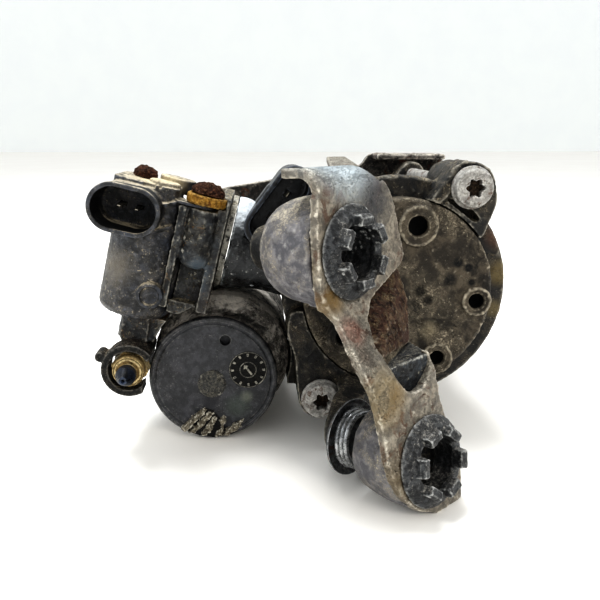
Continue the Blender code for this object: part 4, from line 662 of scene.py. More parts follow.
# ---- cylinder ---------------------------------------------------------------
barrel_profile = [(18.0, 30.0), (17.2, 34.0), (16.2, 39.0), (16.0, 48), (16.3, 53), (17.2, 57.5), (BARREL_FLANGE_R, 60.0), (BARREL_FLANGE_R, BARREL_END), (BORE_R, BARREL_END), (BORE_R, 30.0)]
barrel = cast(
    "cylinder_casting",
    [lathe(barrel_profile, 96, parent=HEAD, at=(0, CRANK_Y, 0), axis=LEFT),
     block((-62, CRANK_Y - 1.1, 15), (-33, CRANK_Y + 1.1, 17.2), parent=HEAD)],
    [cyl(FLANGE_R - 1.5, 45, steps=96, at=(0, 5, 0), axis=BACK)], voxel=0.5, soften=4)
weather(barrel, 0.12, 2.6, 0.3, 2.0, seed=9.0)
show(barrel, BARREL, "root", ["cylinder_barrel"])

# ---- cylinder head ----------------------------------------------------------
head_adds = [
    block((-82.9, 8, -25.2), (VALVE_U - GAP, 46.6, 14.0), parent=HEAD),
    block((-70.5, 0.4, -24), (-66.7, 48.3, 18.2), parent=HEAD),
    block((-97, 9.4, -42), (-67.6, 43.6, -16), parent=HEAD),
    block((-83.6, -0.5, -24.5), (-81.0, 20.2, 12.7), parent=HEAD),
    block((-82.4, 3.9, -27.2), (-69.1, 12.6, -22.3), parent=HEAD),
    lathe([(0, -8.4), (3.0, -8.2), (4.9, -7.0), (5.8, -5.0), (6.0, -2.5), (5.7, 12.8), (0, 12.8)], 64, closed=False, parent=HEAD, at=(SCREW[0], SCREW[1], 0)),
    block((-77.9, 3.3, -7.6), (-72.6, 13.1, 12.5), parent=HEAD),
    hull([(u, y, w) for u in (-96.3, -86.2) for y in (8.2, 25.1) for w in (-40.6, -31.4)] + [(-92.4, y, -50.1) for y in (8.2, 25.1)] + [(-85.7, y, -50.1) for y in (8.2, 25.1)], parent=HEAD),
    cyl(7.2, 19, steps=64, parent=HEAD, at=(OUTLET[0], 7.5, OUTLET[1]), axis=BACK),
    # ribs on the head's left and back faces and along the flange
    *[block((-84.2, y - 0.9, -22), (-82.4, y + 0.9, 11), parent=HEAD) for y in (26, 34, 42)],
    *[block((-81, 46, w - 0.9), (-69, 48.0, w + 0.9), parent=HEAD) for w in (-20, -10, 0, 9)],
    block((-80, 14, 13), (-70, 15.6, 15.4), parent=HEAD), block((-80, 38, 13), (-70, 39.6, 15.4), parent=HEAD),
    *[cyl(4.4, 5.5, steps=40, parent=HEAD, at=(-72.5, y, w), axis=(1, 0, 0)) for y, w in ((43.5, 13.5), (43.5, -20.5), (12.0, -20.0))],
]
head = cast(
    "cylinder_head_casting", head_adds,
    [cyl(DRYER_BODY_R + GAP, 100, steps=96, at=(DRYER_BODY[0], 4, DRYER_BODY[1]), axis=BACK),
     cyl(DRYER_CAP_R + 1.0, 40, steps=96, at=(DRYER_CAP[0], -6, DRYER_CAP[1]), axis=BACK),
     cyl(SOLENOID_R + GAP, 60, steps=80, parent=HEAD, at=(SOLENOID_U, SOLENOID_Y, -32.3)),
     cyl(7.5, 10, parent=HEAD, at=(SCREW[0], SCREW[1], 14.2)),
     cyl(14, 10, parent=HEAD, at=(VALVE_U + 1, CRANK_Y, 0), axis=LEFT)],
    voxel=0.45, soften=5,
    after=[cyl(2.3, 16, steps=32, parent=HEAD, at=(SCREW[0], SCREW[1], 0)), cyl(3.3, 12, steps=32, parent=HEAD, at=(OUTLET[0], 5, OUTLET[1]), axis=BACK)],
)
weather(head, 0.14, 2.4, 0.35, 1.8, seed=13.0)
show(head, HEADCAST, "root", ["cylinder_head"])

# ---- vent solenoid ----------------------------------------------------------
shroud = dict(parent=HEAD, at=(CONNECTOR_U, 0, CONNECTOR_W), axis=BACK, across=(1, 0, 0))
solenoid_adds = [
    lathe([(0, -32), (SOLENOID_R - 2.6, -32), (SOLENOID_R, -28.5), (SOLENOID_R, 13), (0, 13)], 96, closed=False, parent=HEAD, at=(SOLENOID_U, SOLENOID_Y, 0)),
    slab(stadium(3.7, 7.75), -15.0, 9.0, **shroud),
    slab(stadium(3.7, 8.1), -15.0, -12.8, **shroud),
    slab(rounded([(-107, -2), (-84.6, -2), (-84.6, 24), (-107, 24)], 4), 11.5, 17.4, parent=HEAD),
    hull([(u, y, w) for u, y in [(-86.5, -1.6), (-86.5, 7.6)] + ring(4.1, 32, SCREW) for w in (13.1, 14.2)], parent=HEAD),
    cyl(6.5, 5.0, steps=48, parent=HEAD, at=(-87.3, 17, 15)),
    lathe([(0, 17), (5.4, 17), (5.4, 18.4), (4.8, 18.8), (0, 18.8)], 48, closed=False, parent=HEAD, at=(-90.3, 5.0, 0)),
    cyl(4.2, 3.5, steps=40, parent=HEAD, at=(SCREW_SMALL[0], SCREW_SMALL[1], 14)),
    # ribs from the shroud back to the rib of the head
    hull([(-91.5, y, w) for y in (-8, 2) for w in (9.6, 11.0)] + [(-84.4, y, w) for y in (-2.6, 2) for w in (12.4, 13.8)], parent=HEAD),
    hull([(-92.0, y, w) for y in (-8, 2) for w in (0.2, 1.6)] + [(-84.4, y, w) for y in (-2.6, 2) for w in (4.0, 5.4)], parent=HEAD),
    # the round boss low on the front
    cyl(4.6, 7, steps=48, parent=HEAD, at=(-87.0, -3.4, -20.6), axis=BACK),
    lathe([(3.4, -4.4), (4.6, -4.0), (4.6, -3.2), (3.4, -3.2)], 48, parent=HEAD, at=(-87.0, 0, -20.6), axis=BACK),
]
solenoid = cast(
    "vent_solenoid_body", solenoid_adds,
    [slab(stadium(3.7, 6.6), -17, 1.0, **shroud),
     cyl(SOLENOID_R - 1.7, 34, steps=64, parent=HEAD, at=(SOLENOID_U, SOLENOID_Y, -34)),
     block((-96.6, -3.6, 16.1), (-92.4, -0.4, 19), parent=HEAD), block((-91.5, -3.6, 16.3), (-90.3, -0.6, 19), parent=HEAD)],
    voxel=0.36, soften=3,
    after=[cyl(2.6, 12, steps=32, parent=HEAD, at=(SCREW[0], SCREW[1], 10)), cyl(1.9, 4.5, steps=32, parent=HEAD, at=(SCREW_SMALL[0], SCREW_SMALL[1], 14.6)),
           block((-103.4, 0, CONNECTOR_W - 0.75), (-101.0, 5, CONNECTOR_W + 0.75), parent=HEAD),
           block((-97.6, 0, CONNECTOR_W - 0.75), (-95.2, 5, CONNECTOR_W + 0.75), parent=HEAD)],
)
weather(solenoid, 0.08, 2.6, 0.22, 1.7, where=lambda p: 0.15 if p.y < -3 else 1.0, seed=17.0)
show(solenoid, SOLENOID, "root", ["solenoid_housing"])
for name, u in (("solenoid_pin_1", -102.2), ("solenoid_pin_2", -96.4)):
    pin = crisp(name + "_blade", [hull([(u + a, y, CONNECTOR_W + b) for a, b, y in ((-.85, -.4, -6.4), (.85, -.4, -6.4), (.85, .4, -6.4), (-.85, .4, -6.4), (-.5, -.15, -7), (.5, -.15, -7), (.5, .15, -7), (-.5, .15, -7),
                                          (-.85, -.4, 4.6), (.85, -.4, 4.6), (.85, .4, 4.6), (-.85, .4, 4.6))], parent=HEAD)])
    show(pin, PIN, "root", [name])

screw_large = cast("rusted_screw_large", [lathe([(0, 22.0), (2.4, 21.9), (4.2, 21.3), (5.5, 20.0), (6.0, 18.2), (2.0, 18.2), (2.0, 2.0), (0, 2.0)], 64, closed=False, parent=HEAD, at=(SCREW[0], SCREW[1], 0))], voxel=0.3, soften=1)
weather(screw_large, 0.3, 1.4, 0.7, 1.2, where=lambda p: 1.0 if p.z > 35.6 else 0.0)
show(screw_large, SCREWRUST, "root", ["solenoid_screw_large"])
screw_small = cast("rusted_screw_small", [lathe([(0, 21.6), (2.0, 21.4), (3.4, 20.6), (4.2, 19.4), (4.3, 17.8), (1.6, 17.8), (1.6, 14.6), (0, 14.6)], 64, closed=False, parent=HEAD, at=(SCREW_SMALL[0], SCREW_SMALL[1], 0))], voxel=0.26, soften=1)
weather(screw_small, 0.25, 1.2, 0.6, 1.1, where=lambda p: 1.0 if p.z > 42.6 else 0.0, seed=3.0)
show(screw_small, SCREWRUST, "root", ["solenoid_screw_small"])
ring_piece = cast("gold_collar", [lathe(rounded([(7.0, 14.5), (7.0, 17.8), (3.4, 17.8), (3.4, 14.5)], 0.6), 72, parent=HEAD, at=(SCREW[0], SCREW[1], 0))], voxel=0.3, soften=1)
weather(ring_piece, 0.12, 1.6, 0.3, 1.2)
show(ring_piece, GOLD, "root", ["screw_ring"])

# ---- outlet -----------------------------------------------------------------
o = dict(parent=HEAD, at=(OUTLET[0], 0, OUTLET[1]), axis=FRONT)
nut = crisp("outlet_fitting", [slab(rounded(ring(6.9, 6), 0.7), -7.1, -1.0, **o),
                               lathe(rounded([(0, -7.0), (5.9, -7.0), (5.9, 1.6), (5.2, 2.5), (0, 2.5)], 0.5, closed=False), 72, closed=False, **o),
                               cyl(2.9, 12, steps=40, parent=HEAD, at=(OUTLET[0], 16, OUTLET[1]), axis=FRONT)],
            [cyl(2.2, 12, steps=40, parent=HEAD, at=(OUTLET[0], 7, OUTLET[1]), axis=FRONT),
             lathe([(4.9, 1.7), (5.25, 1.4), (5.25, 3), (4.9, 3)], 72, **o),
             lathe([(3.2, 1.4), (4.2, 1.4), (4.2, 3), (3.2, 3)], 72, **o)], angle=35)
show(nut, BRASS, "root", ["outlet_nut"])
plug = crisp("tube_stub", [lathe(rounded([(0, -3.0), (1.8, -3.0), (1.8, 3.2), (3.4, 3.5), (3.6, 4.2), (3.6, 6.8), (1.5, 10.8), (1.4, 11.3), (0, 11.3)], 0.5, closed=False), 72, closed=False,
                                 parent=HEAD, at=(OUTLET[0], -0.2, OUTLET[1]), axis=FRONT)],
             [cyl(0.8, 3, steps=24, parent=HEAD, at=(OUTLET[0], -9.6, OUTLET[1]), axis=FRONT)], angle=35)
show(plug, PLUG, "root", ["outlet_plug"])
guard = cast(
    "outlet_guard_ring",
    [slab(xz(ring(9.9, 64, (0, 0), math.radians(40), math.radians(352)) + ring(7.4, 64, (0, 0), math.radians(352), math.radians(40))), -1.5, 7.0, parent=HEAD, at=(OUTLET[0], 0, OUTLET[1]), **FACING),
     cyl(1.9, 7.0, steps=32, parent=HEAD, at=(OUTLET[0] - 11.0, -0.8, OUTLET[1] + 2.6), axis=BACK)],
    [cyl(DRYER_CAP_R + 0.8, 40, steps=96, at=(DRYER_CAP[0], -20, DRYER_CAP[1]), axis=BACK)], voxel=0.33, soften=2)
weather(guard, 0.06, 1.6, 0.15, 1.4)
show(guard, GUARD, "root", ["outlet_guard"])

# ---- dryer ------------------------------------------------------------------
dc = dict(at=(DRYER_CAP[0], 0, DRYER_CAP[1]), axis=BACK)
db = dict(at=(DRYER_BODY[0], 0, DRYER_BODY[1]), axis=BACK)
body_shell = [
    lathe([(0, 14), (DRYER_BODY_R - 5, 14), (DRYER_BODY_R - 1, 19.5), (DRYER_BODY_R, 23), (DRYER_BODY_R, 91), (DRYER_BODY_R - 1.2, 94), (DRYER_BODY_R - 4, 95.8), (0, 96)], 128, closed=False, **db),
    lathe([(0, 11.4), (23.9, 11.4), (24.2, 11.8), (24.2, 25.4), (0, 25.4)], 128, closed=False, **dc),
    # the raised lug on top, with its slot
    hull([(DRYER_CAP[0] + x, y, DRYER_CAP[1] + z) for x, z in ((2, 23), (14, 19.5), (12.5, 25.6), (4.5, 27.2)) for y in (14.5, 26)]),
    # a few bayonet steps round the collar and ribs at the back
    *[hull([(DRYER_CAP[0] + r * math.cos(a + d), y, DRYER_CAP[1] + r * math.sin(a + d)) for d in (-0.16, 0.16) for r in (22, 24.9) for y in (13.5, 18)]) for a in (math.radians(150), math.radians(215))],
    *[lathe([(DRYER_BODY_R - 2, y - 0.8), (DRYER_BODY_R + 0.35, y - 0.8), (DRYER_BODY_R + 0.35, y + 0.8), (DRYER_BODY_R - 2, y + 0.8)], 96, **db) for y in (46, 84)],
]
dryer = cast(
    "dryer_can", body_shell,
    [lathe([(0, 9), (21.4, 9), (21.4, 26), (0, 26)], 96, closed=False, **dc), lathe([(0, 24), (24.2, 24), (24.2, 92), (0, 92)], 96, closed=False, **db),
     hull([(DRYER_CAP[0] + x, y, DRYER_CAP[1] + z) for x, z in ((4.0, 22.8), (10.5, 21.4), (10.2, 24.0), (4.4, 25.2)) for y in (12.5, 20)])],
    voxel=0.5, soften=4)
weather(dryer, 0.1, 3.0, 0.3, 1.9, seed=21.0)
show(dryer, DRYERBODY, "root", ["dryer_body"])


BASE_TEAR = [(-82.4, -55.0), (-77.5, -50.0), (-72.7, -46.4), (-69.7, -47.3), (-67.0, -50.8), (-64.9, -55.2), (-60.6, -53.6), (-60.4, -56.6), (-65.0, -58.2), (-70.1, -58.7), (-75.2, -57.8), (-79.4, -56.0)]


cap = cast(
    "dryer_end_cap",
    [lathe([(0, 8.4), (3.4, 8.4), (3.9, DRYER_CAP_Y), (5.8, DRYER_CAP_Y), (DRYER_CAP_R - 2.9, DRYER_CAP_Y + 0.05), (DRYER_CAP_R - 2.6, 8.5), (DRYER_CAP_R - 2.0, 8.5), (DRYER_CAP_R - 1.7, DRYER_CAP_Y + 0.1),
            (DRYER_CAP_R - 0.6, 8.2), (DRYER_CAP_R, 9.0), (DRYER_CAP_R, 11.0),
            (20.3, 11.0), (20.3, 12.7), (19.6, 12.7), (19.6, 14.7), (20.3, 14.7), (20.3, 16.6), (0, 16.6)], 160, closed=False, **dc)],
    voxel=0.34, soften=1,
    after=[cyl(2.1, 5, steps=40, at=(DRYER_CAP[0] + 4.9, 6, DRYER_CAP[1] + 15.6), axis=BACK)])
weather(cap, 0.03, 2.0, 0.06, 1.2)
show(cap, DRYERCAP, "root", ["dryer_cap"])


def splinter(points, low, high, rise=0.0):
    """A broken layer of the cap: a flake that gets narrower towards its ragged front."""
    cx, cz = sum(p[0] for p in points) / len(points), sum(p[1] for p in points) / len(points)
    face = [(x, high - rise * i / len(points), z) for i, (x, z) in enumerate((cx + (x - cx) * 0.8, cz + (z - cz) * 0.8) for x, z in points)]
    return hull([(x, low, z) for x, z in points] + face)


tear = cast(
    "dryer_cap_tear",
    [splinter([(-82.7, -54.5), (-77.5, -49.4), (-72.5, -45.9), (-71.6, -46.8), (-76.4, -51.3), (-81.3, -56.3)], 8.6, 6.3, 0.8),
     splinter([(-80.5, -56.8), (-75.2, -51.8), (-70.8, -46.9), (-68.9, -48.2), (-72.6, -53.2), (-76.7, -57.2)], 8.6, 7.0, -0.7),
     splinter([(-75.9, -57.6), (-72.6, -54.0), (-68.5, -48.4), (-67.8, -49.9), (-69.9, -55.0), (-72.8, -58.5)], 8.6, 7.6, 0.9),
     splinter([(-66.5, -58.4), (-64.9, -55.6), (-62.0, -52.9), (-57.1, -50.7), (-59.3, -54.1), (-60.4, -56.4), (-63.4, -57.6)], 8.6, 6.5, -0.9),
     splinter([(-69.7, -58.7), (-68.4, -55.9), (-65.6, -54.3), (-66.5, -58.4)], 8.6, 7.3, 0.5),
     splinter([(-67.5, -51.6), (-65.4, -49.2), (-64.3, -51.3), (-66.4, -55.1)], 8.6, 7.2, 0.5)],
    [], voxel=0.24, soften=1)
weather(tear, 0.5, 1.5, 0.9, 1.1, seed=5.0)
show(tear, TORN, "root")
# a near-black sheet under the splinters: painted shade in the tear's recess
hollow = crisp("dryer_cap_tear_shade", [slab(xz(BASE_TEAR), 7.75, 8.5, **FACING)])
show(hollow, DARKTEAR, "root")
# the plain dial of a mould date mark, and the gate mark in the middle
gate = crisp("gate_mark", [lathe(rounded([(0, -0.35), (4.6, -0.35), (5.4, -0.1), (5.6, 0.4), (0, 0.4)], 0.12, closed=False), 72, closed=False, at=(-69.7, DRYER_CAP_Y, -36.5), axis=BACK)])
weather(gate, 0.12, 1.6, 0.3, 1.3, seed=6.0)
show(gate, GATE, "root")
field = crisp("mould_dial_field", [lathe([(0, -0.06), (7.4, -0.06), (7.4, 0.3), (0, 0.3)], 72, closed=False, at=(DRYER_CAP[0] + 13.3, DRYER_CAP_Y, DRYER_CAP[1] + 3.5), axis=BACK)])
show(field, DARKTEAR, "root")
dial = []
for k in range(12):
    a = 2 * math.pi * k / 12
    dial.append(slab(rounded([(5.4, -0.35), (6.6, -0.45), (6.6, 0.45), (5.4, 0.35)], 0.2), 0.0, 0.5,
                     at=(DRYER_CAP[0] + 13.3, DRYER_CAP_Y + 0.15, DRYER_CAP[1] + 3.5), axis=FRONT, across=(math.cos(a), 0, math.sin(a))))
dial.append(lathe(rounded([(7.3, 0), (7.3, 0.32), (6.9, 0.32), (6.9, 0)], 0.1), 72, at=(DRYER_CAP[0] + 13.3, DRYER_CAP_Y + 0.15, DRYER_CAP[1] + 3.5), axis=FRONT))
dial.append(lathe(rounded([(3.3, 0), (3.3, 0.3), (2.9, 0.3), (2.9, 0)], 0.1), 48, at=(DRYER_CAP[0] + 13.3, DRYER_CAP_Y + 0.15, DRYER_CAP[1] + 3.5), axis=FRONT))
dial.append(slab([(-0.4, -2.4), (0.4, -2.4), (0.4, 1.2), (1.2, 1.2), (0, 2.6), (-1.2, 1.2), (-0.4, 1.2)], 0.0, 0.45,
                 at=(DRYER_CAP[0] + 13.3, DRYER_CAP_Y + 0.15, DRYER_CAP[1] + 3.5), axis=FRONT, across=(0.8, 0, 0.6)))
for k, bit in enumerate(dial):
    show(crisp(f"mould_dial_{k + 1}", [bit]), GATE, "root")

# ---- motor connector --------------------------------------------------------
mc = dict(at=(MC[0], 0, MC[1]), axis=BACK, across=MC_ACROSS)
connector = cast(
    "motor_connector_body",
    [slab(stadium(9.3, 6.4), 1.0, 24.0, **mc), slab(stadium(9.3, 6.75), 1.0, 3.2, **mc),
     hull([(MC[0] + dx * 7, y, MC[1] + dz * 7) for y in (22, 60) for dx, dz in ((1, 0), (0, 1), (-0.6, 0), (0, -0.6))] + [(x, y, z) for y in (50, 60) for x, z in ((-33, 24), (-26, 31))]),
     hull([(u, v, y) for u in (-4, 4) for v, y in ((-6.0, 1.6), (-6.0, 14), (-7.4, 3.4), (-7.4, 10))], **mc)],
    [slab(stadium(8.6, 5.1), -2, 7.6, **mc),
     cyl(MOTOR_R + GAP, 60, steps=96, at=(0, 46.2, 0), axis=BACK), cyl(CASE_R + 1.8, 46.2, steps=96, at=(0, 0, 0), axis=BACK),
     cyl(BARREL_FLANGE_R + 0.5, 60, steps=64, parent=HEAD, at=(-25, CRANK_Y, 0), axis=LEFT)],
    voxel=0.38, soften=2,
    after=[block((3.6, -1.2, 6), (6.4, 1.2, 9.3), **mc), block((-6.4, -1.2, 6), (-3.6, 1.2, 9.3), **mc)])
weather(connector, 0.05, 2.6, 0.1, 1.8, seed=31.0)
show(connector, CONNECTOR, "root", ["motor_connector"])
for name, u in (("motor_pin_1", 5.0), ("motor_pin_2", -5.0)):
    pin = crisp(name + "_blade", [hull([(u + a, b, y) for a, b, y in ((-1.05, -.4, 3.2), (1.05, -.4, 3.2), (1.05, .4, 3.2), (-1.05, .4, 3.2), (-.7, -.15, 2.6), (.7, -.15, 2.6), (.7, .15, 2.6), (-.7, .15, 2.6),
                                          (-1.05, -.4, 8.9), (1.05, -.4, 8.9), (1.05, .4, 8.9), (-1.05, .4, 8.9))], **mc)])
    show(pin, PIN, "root", [name])

# ---- motor and rear cover ---------------------------------------------------
can = crisp("motor_can_shell", [lathe(rounded([(MOTOR_R, 46.4), (MOTOR_R, 84.0), (MOTOR_R - 2, 84.0), (MOTOR_R - 2, 46.4)], 0.5), 160, axis=BACK),
                                *[lathe([(MOTOR_R - 1, y - 0.9), (MOTOR_R + 0.3, y - 0.45), (MOTOR_R + 0.3, y + 0.45), (MOTOR_R - 1, y + 0.9)], 160, axis=BACK) for y in (51.5, 80.0)]], angle=40)
show(can, MOTOR, "root", ["motor_can"])
rear_adds = [lathe([(0, 98), (MOTOR_R - 3, 98), (MOTOR_R - 0.8, 97), (MOTOR_R, 95), (MOTOR_R, 84.4), (MOTOR_R - 2.5, 84.4), (MOTOR_R - 2.5, 94), (10.5, 94), (10.5, 91.6), (8.35, 91.6), (8.35, 96.7), (0, 96.7)], 128, closed=False, axis=BACK)]
for (x, z) in (BOLT_UPPER, BOLT_LOWER):
    reach = math.hypot(x, z)
    inward, side = (x * 33 / reach, z * 33 / reach), (-z / reach * 6.0, x / reach * 6.0)
    rear_adds.append(hull([(x + dx, y, z + dz) for y in (84.9, 95.2) for dx, dz in ring(6.0, 32)] + [(inward[0] + s * side[0] * 1.3, y, inward[1] + s * side[1] * 1.3) for y in (84.9, 95.2) for s in (-1, 1)]))
for k in range(8):
    a = 2 * math.pi * (k + 0.5) / 8
    rear_adds.append(hull([(math.cos(a + d / r) * r, y, math.sin(a + d / r) * r) for r in (13, 32) for d in (-0.8, 0.8) for y in (97, 98.9)]))
rear = cast("rear_cover_casting", rear_adds, [], voxel=0.55, soften=3,
            after=[cyl(BOLT_SHANK_R + 0.3, 10, steps=48, at=(x, 83, z), axis=BACK) for x, z in (BOLT_UPPER, BOLT_LOWER)])
weather(rear, 0.1, 3.0, 0.25, 2.2, seed=33.0)
show(rear, CASE, "root", ["rear_cover"])

# ---- front bracket ----------------------------------------------------------
upper_outline = rounded([(-14.6, 17.6), (12.2, 17.6), (18.6, 20.8), (21.8, 17.6), (24.4, 12.9), (26.6, 5.7), (28.6, -1.2), (29.7, -5.3), (27.7, -7.8), (19.8, -11.4), (12.5, -14.9), (8.2, -17.9),
                         (-2, -18.4), (-13.6, -16), (-15.2, -10), (-15.4, 6)], 1.2)
lower_outline = rounded([(-23.2, 31.8), (-20.7, 25.2), (-19.8, 19.8), (-18.8, 12.6), (-18.7, 6.0), (-16.9, -1.7), (-13.5, -8.0), (-7.3, -13.9), (0.5, -17.6), (5.6, -19.4), (11.0, -20.6), (13.6, -19.2), (15.0, -13.3),
                         (15.9, -5.4), (14.9, 1.7), (12.2, 7.9), (9.7, 13.9), (8.6, 20.2), (8.2, 26.6), (5.8, 33.6), (4.4, 34.4), (6.0, 30.8), (5.3, 27.5), (3.4, 25.0), (0.4, 23.0), (-2.7, 22.6), (-6.3, 23.7), (-11.7, 28.8)], 1.2)
IN, OUT = -PLATE + 0.05, -0.05
STRIP_NORMAL = Vector((0.66, -0.74, 0.14)).normalized()
STRIP = (((-28.4, -46.2, 3.6), (-17.6, -35.4, 1.8)), ((-25.2, -51.4, -2.9), (-16.2, -42.8, -5.7)), ((-21.2, -55.5, -11.1), (-11.8, -48.9, -14.0)))


def thick(points, normal, low, high):
    return [tuple(Vector(p) + normal * d) for p in points for d in (low, high)]


def seat(matrix, points, levels):
    return [tuple(matrix @ Vector((t, k, s))) for t, k in points for s in levels]


ramp_a = hull(seat(SEAT_U, ((-15.1, -9.8), (11.2, -12.6), (8.2, -17.3), (-14.3, -14)), (IN, OUT)) + thick(STRIP[0], STRIP_NORMAL, -2.9, -0.1))
ramp_b = hull(thick([Vector(p) + Vector((-0.2, 0.3, 0.9)) for p in STRIP[0]], STRIP_NORMAL, -2.9, -0.1) + thick(STRIP[1], STRIP_NORMAL, -2.9, -0.1))
ramp_c = hull(thick([Vector(p) + Vector((-0.3, 0.5, 0.8)) for p in STRIP[1]], STRIP_NORMAL, -2.9, -0.1) + seat(SEAT_L, ((-23.0, 31.6), (-21.0, 26.4), (-11.9, 28.7), (-8.0, 25.1)), (IN, OUT)))
WEB_NORMAL = Vector((0.80, -0.50, 0.33)).normalized()
bent_web = hull(thick([(-15.4, -25.2, 7.6), (-3.6, -12.4, 12.9), (-0.7, -16.0, 2.6), (-1.7, -20.0, -5.3), (-0.9, -23.0, -10.7), (-13.9, -42.6, -9.0), (-18.2, -34.0, -0.4)], WEB_NORMAL, -2.3, 0))
POCKET_NORMAL = Vector((0.42, -0.88, 0.22)).normalized()
drawn_pocket = hull(thick([(-0.9, -23.0, -10.7), (1.6, -37.2, -9.6), (2.7, -34.6, -23.9), (-8.8, -41.7, -21.3), (-13.0, -44.6, -12.0)], POCKET_NORMAL, -2.2, 0))
RAIL_Z = (43.2, 46.4)
BEND = 8.5
bend_outline = [(16.9, -PLATE + 0.1)] + [(17 + (BEND - PLATE) * math.sin(a), -BEND + (BEND - PLATE) * math.cos(a)) for a in (math.radians(6 * i) for i in range(1, 16))]
bend_outline += [(17 + BEND - PLATE, -14.5), (17 + BEND, -14.5)] + [(17 + BEND * math.sin(a), -BEND + BEND * math.cos(a)) for a in (math.radians(6 * i) for i in range(15, 0, -1))] + [(16.9, -0.1)]
bend = slab(bend_outline, -13.6, 18.3, parent=SEAT_U, axis=(1, 0, 0), across=(0, 1, 0))
fold = hull(seat(SEAT_U, [(t, k) for t in (-13.0, 11.4) for k in (17 + BEND - PLATE + 0.15, 17 + BEND - 0.15)], (-11.0,)) + [(x, -12, z) for x in (-28.8, -17.2) for z in (RAIL_Z[0] + 0.2, RAIL_Z[1] - 0.2)])
rail = hull([(x, y, z) for x, y in ((-27, -13), (-17, -13), (-15, 108), (-5, 108)) for z in RAIL_Z])
bracket = cast(
    "front_bracket_sheet",
    [slab(upper_outline, -PLATE, 0, parent=SEAT_U), bend, slab(lower_outline, -PLATE, 0, parent=SEAT_L), ramp_a, ramp_b, ramp_c, fold, rail],
    [cyl(11.3, 12, steps=64, parent=SEAT_U, at=(0, 0, -7)), cyl(11.3, 12, steps=64, parent=SEAT_L, at=(0, 0, -7)),
     cyl(WASHER_R + 0.5, 9, steps=96, parent=SEAT_U, at=(0, 0, 0.02)), cyl(WASHER_R + 0.5, 9, steps=96, parent=SEAT_L, at=(0, 0, 0.02)),
     block((-60, -90, -80), (60, 0, FLOOR_Z)), hull(seat(SEAT_U, [(10.6, 27.5), (32, 27.5), (32, 10), (19.6, 17.3)], (-20, -0.8)))],
    voxel=0.5, soften=6)
weather(bracket, 0.2, 2.2, 0.35, 1.6, where=lambda p: 0.25 if p.z > 33 else 1.0, seed=41.0)
show(bracket, BRACKET, "bracket", ["front_bracket"])
ROOMS = [cyl(11.3, 30, steps=64, parent=SEAT_U, at=(0, 0, -24)), cyl(11.3, 12, steps=64, parent=SEAT_L, at=(0, 0, -7))]
web = cast("bracket_bent_web", [bent_web], ROOMS, voxel=0.45, soften=4)
weather(web, 0.2, 2.2, 0.4, 1.6, seed=51.0)
show(web, WEB_RUST_AND_SHADE, "bracket")
# a dark sheet behind the notch, coloured as painted shade
pocket = cast("bracket_drawn_pocket", [drawn_pocket], [cyl(WASHER_R + 0.5, 9, steps=64, parent=SEAT_L, at=(0, 0, 0.02)), cyl(11.3, 12, steps=64, parent=SEAT_L, at=(0, 0, -7))], voxel=0.45, soften=4)
weather(pocket, 0.15, 2.2, 0.3, 1.6, seed=53.0)
show(pocket, POCKET_SHADE, "bracket")

# ---- isolators --------------------------------------------------------------
def isolator_clip(name, parent, depth, node, turn, rise, mouth):
    """A washer that rises as a cone to a mouth with short blocks standing round it."""
    profile = rounded([(WASHER_R, GAP), (WASHER_R, 1.2), (WASHER_R - 0.7, 1.7), (mouth + 2.0, rise), (mouth + 0.3, rise + 0.2), (mouth - 0.6, rise - 0.6), (9.2, 0.4), (9.2, -depth), (10.9, -depth), (10.9, GAP)], 0.5)
    parts = [lathe(profile, 96, parent=parent)]
    for i in range(6):
        m = parent @ Matrix.Rotation(2 * math.pi * (i + 0.5) / 6 + turn, 4, "Z")
        low, high = rise - 1.2, rise + 3.4
        parts.append(hull([(r, d, s) for r in (mouth - 1.0, mouth + 1.9) for d in (-3.0, 3.0) for s in (low,)]
                          + [(r, d * k, high - c) for r, c in ((mouth - 1.3, 0.5), (mouth + 1.2, 0.0)) for d, k in ((-3.0, 0.92), (3.0, 0.92))]
                          + [(mouth + 2.2, d, high - 1.4) for d in (-2.7, 2.7)], parent=m))
    clip = cast(name, parts, [], voxel=0.32, soften=3)
    weather(clip, 0.07, 1.8, 0.2, 1.3, seed=turn + 50)
    return show(clip, CLIP, "bracket", [node])


isolator_clip("upper_clip_castle", SEAT_U, 9.0, "upper_isolator_clip", 0.0, 3.4, 9.2)
isolator_clip("lower_clip_castle", SEAT_L, 5.5, "lower_isolator_clip", 0.35, 3.4, 9.2)
# a dark material for a liner inside each clip; nothing uses it
LINER = grimy("clip_liner", rgb(30, 29, 28), rgb(50, 47, 43), rgb(96, 88, 76), amount=0.4, patch=4, top=0.3, rough=0.8, bump=0.8, offset=62.0, specular=0.2)

cup_profile = rounded([(17.0, -PLATE - GAP), (17.3, -8), (17.1, -14), (16.4, -19.5), (14.9, -23.6), (12.6, -26.0), (10.2, -26.2), (10.0, -21.0), (11.3, -17.5), (11.3, -PLATE - GAP)], 1.2)
nubs = [hull([(r, d, s) for r in (15.8, 17.9) for d in (-1.6, 1.6) for s in (-7.5, -11.5)], parent=SEAT_U @ Matrix.Rotation(a, 4, "Z")) for a in [math.radians(k) for k in (100, 150, 200, 250)]]
cup = cast("upper_rubber_cup", [lathe(cup_profile, 128, parent=SEAT_U), *nubs], [], voxel=0.45, soften=4)
weather(cup, 0.15, 3.0, 0.25, 1.8, seed=43.0)
show(cup, RUBBER, "bracket", ["upper_isolator_cup"])
cup = cast("lower_rubber_cup", [lathe(rounded([(15.5, 0.5), (16.0, -7), (15.6, -13), (14.4, -18.6), (12.6, -22.3), (6.0, -22.6), (6.0, -19.5), (12.6, -19.5), (12.9, 0.5)], 1.0), 128, parent=SPRING_L)],
           [block((-40, -40, -PLATE - GAP), (40, 40, 20), parent=SEAT_L)], voxel=0.45, soften=4)
weather(cup, 0.15, 3.0, 0.25, 1.8, seed=45.0)
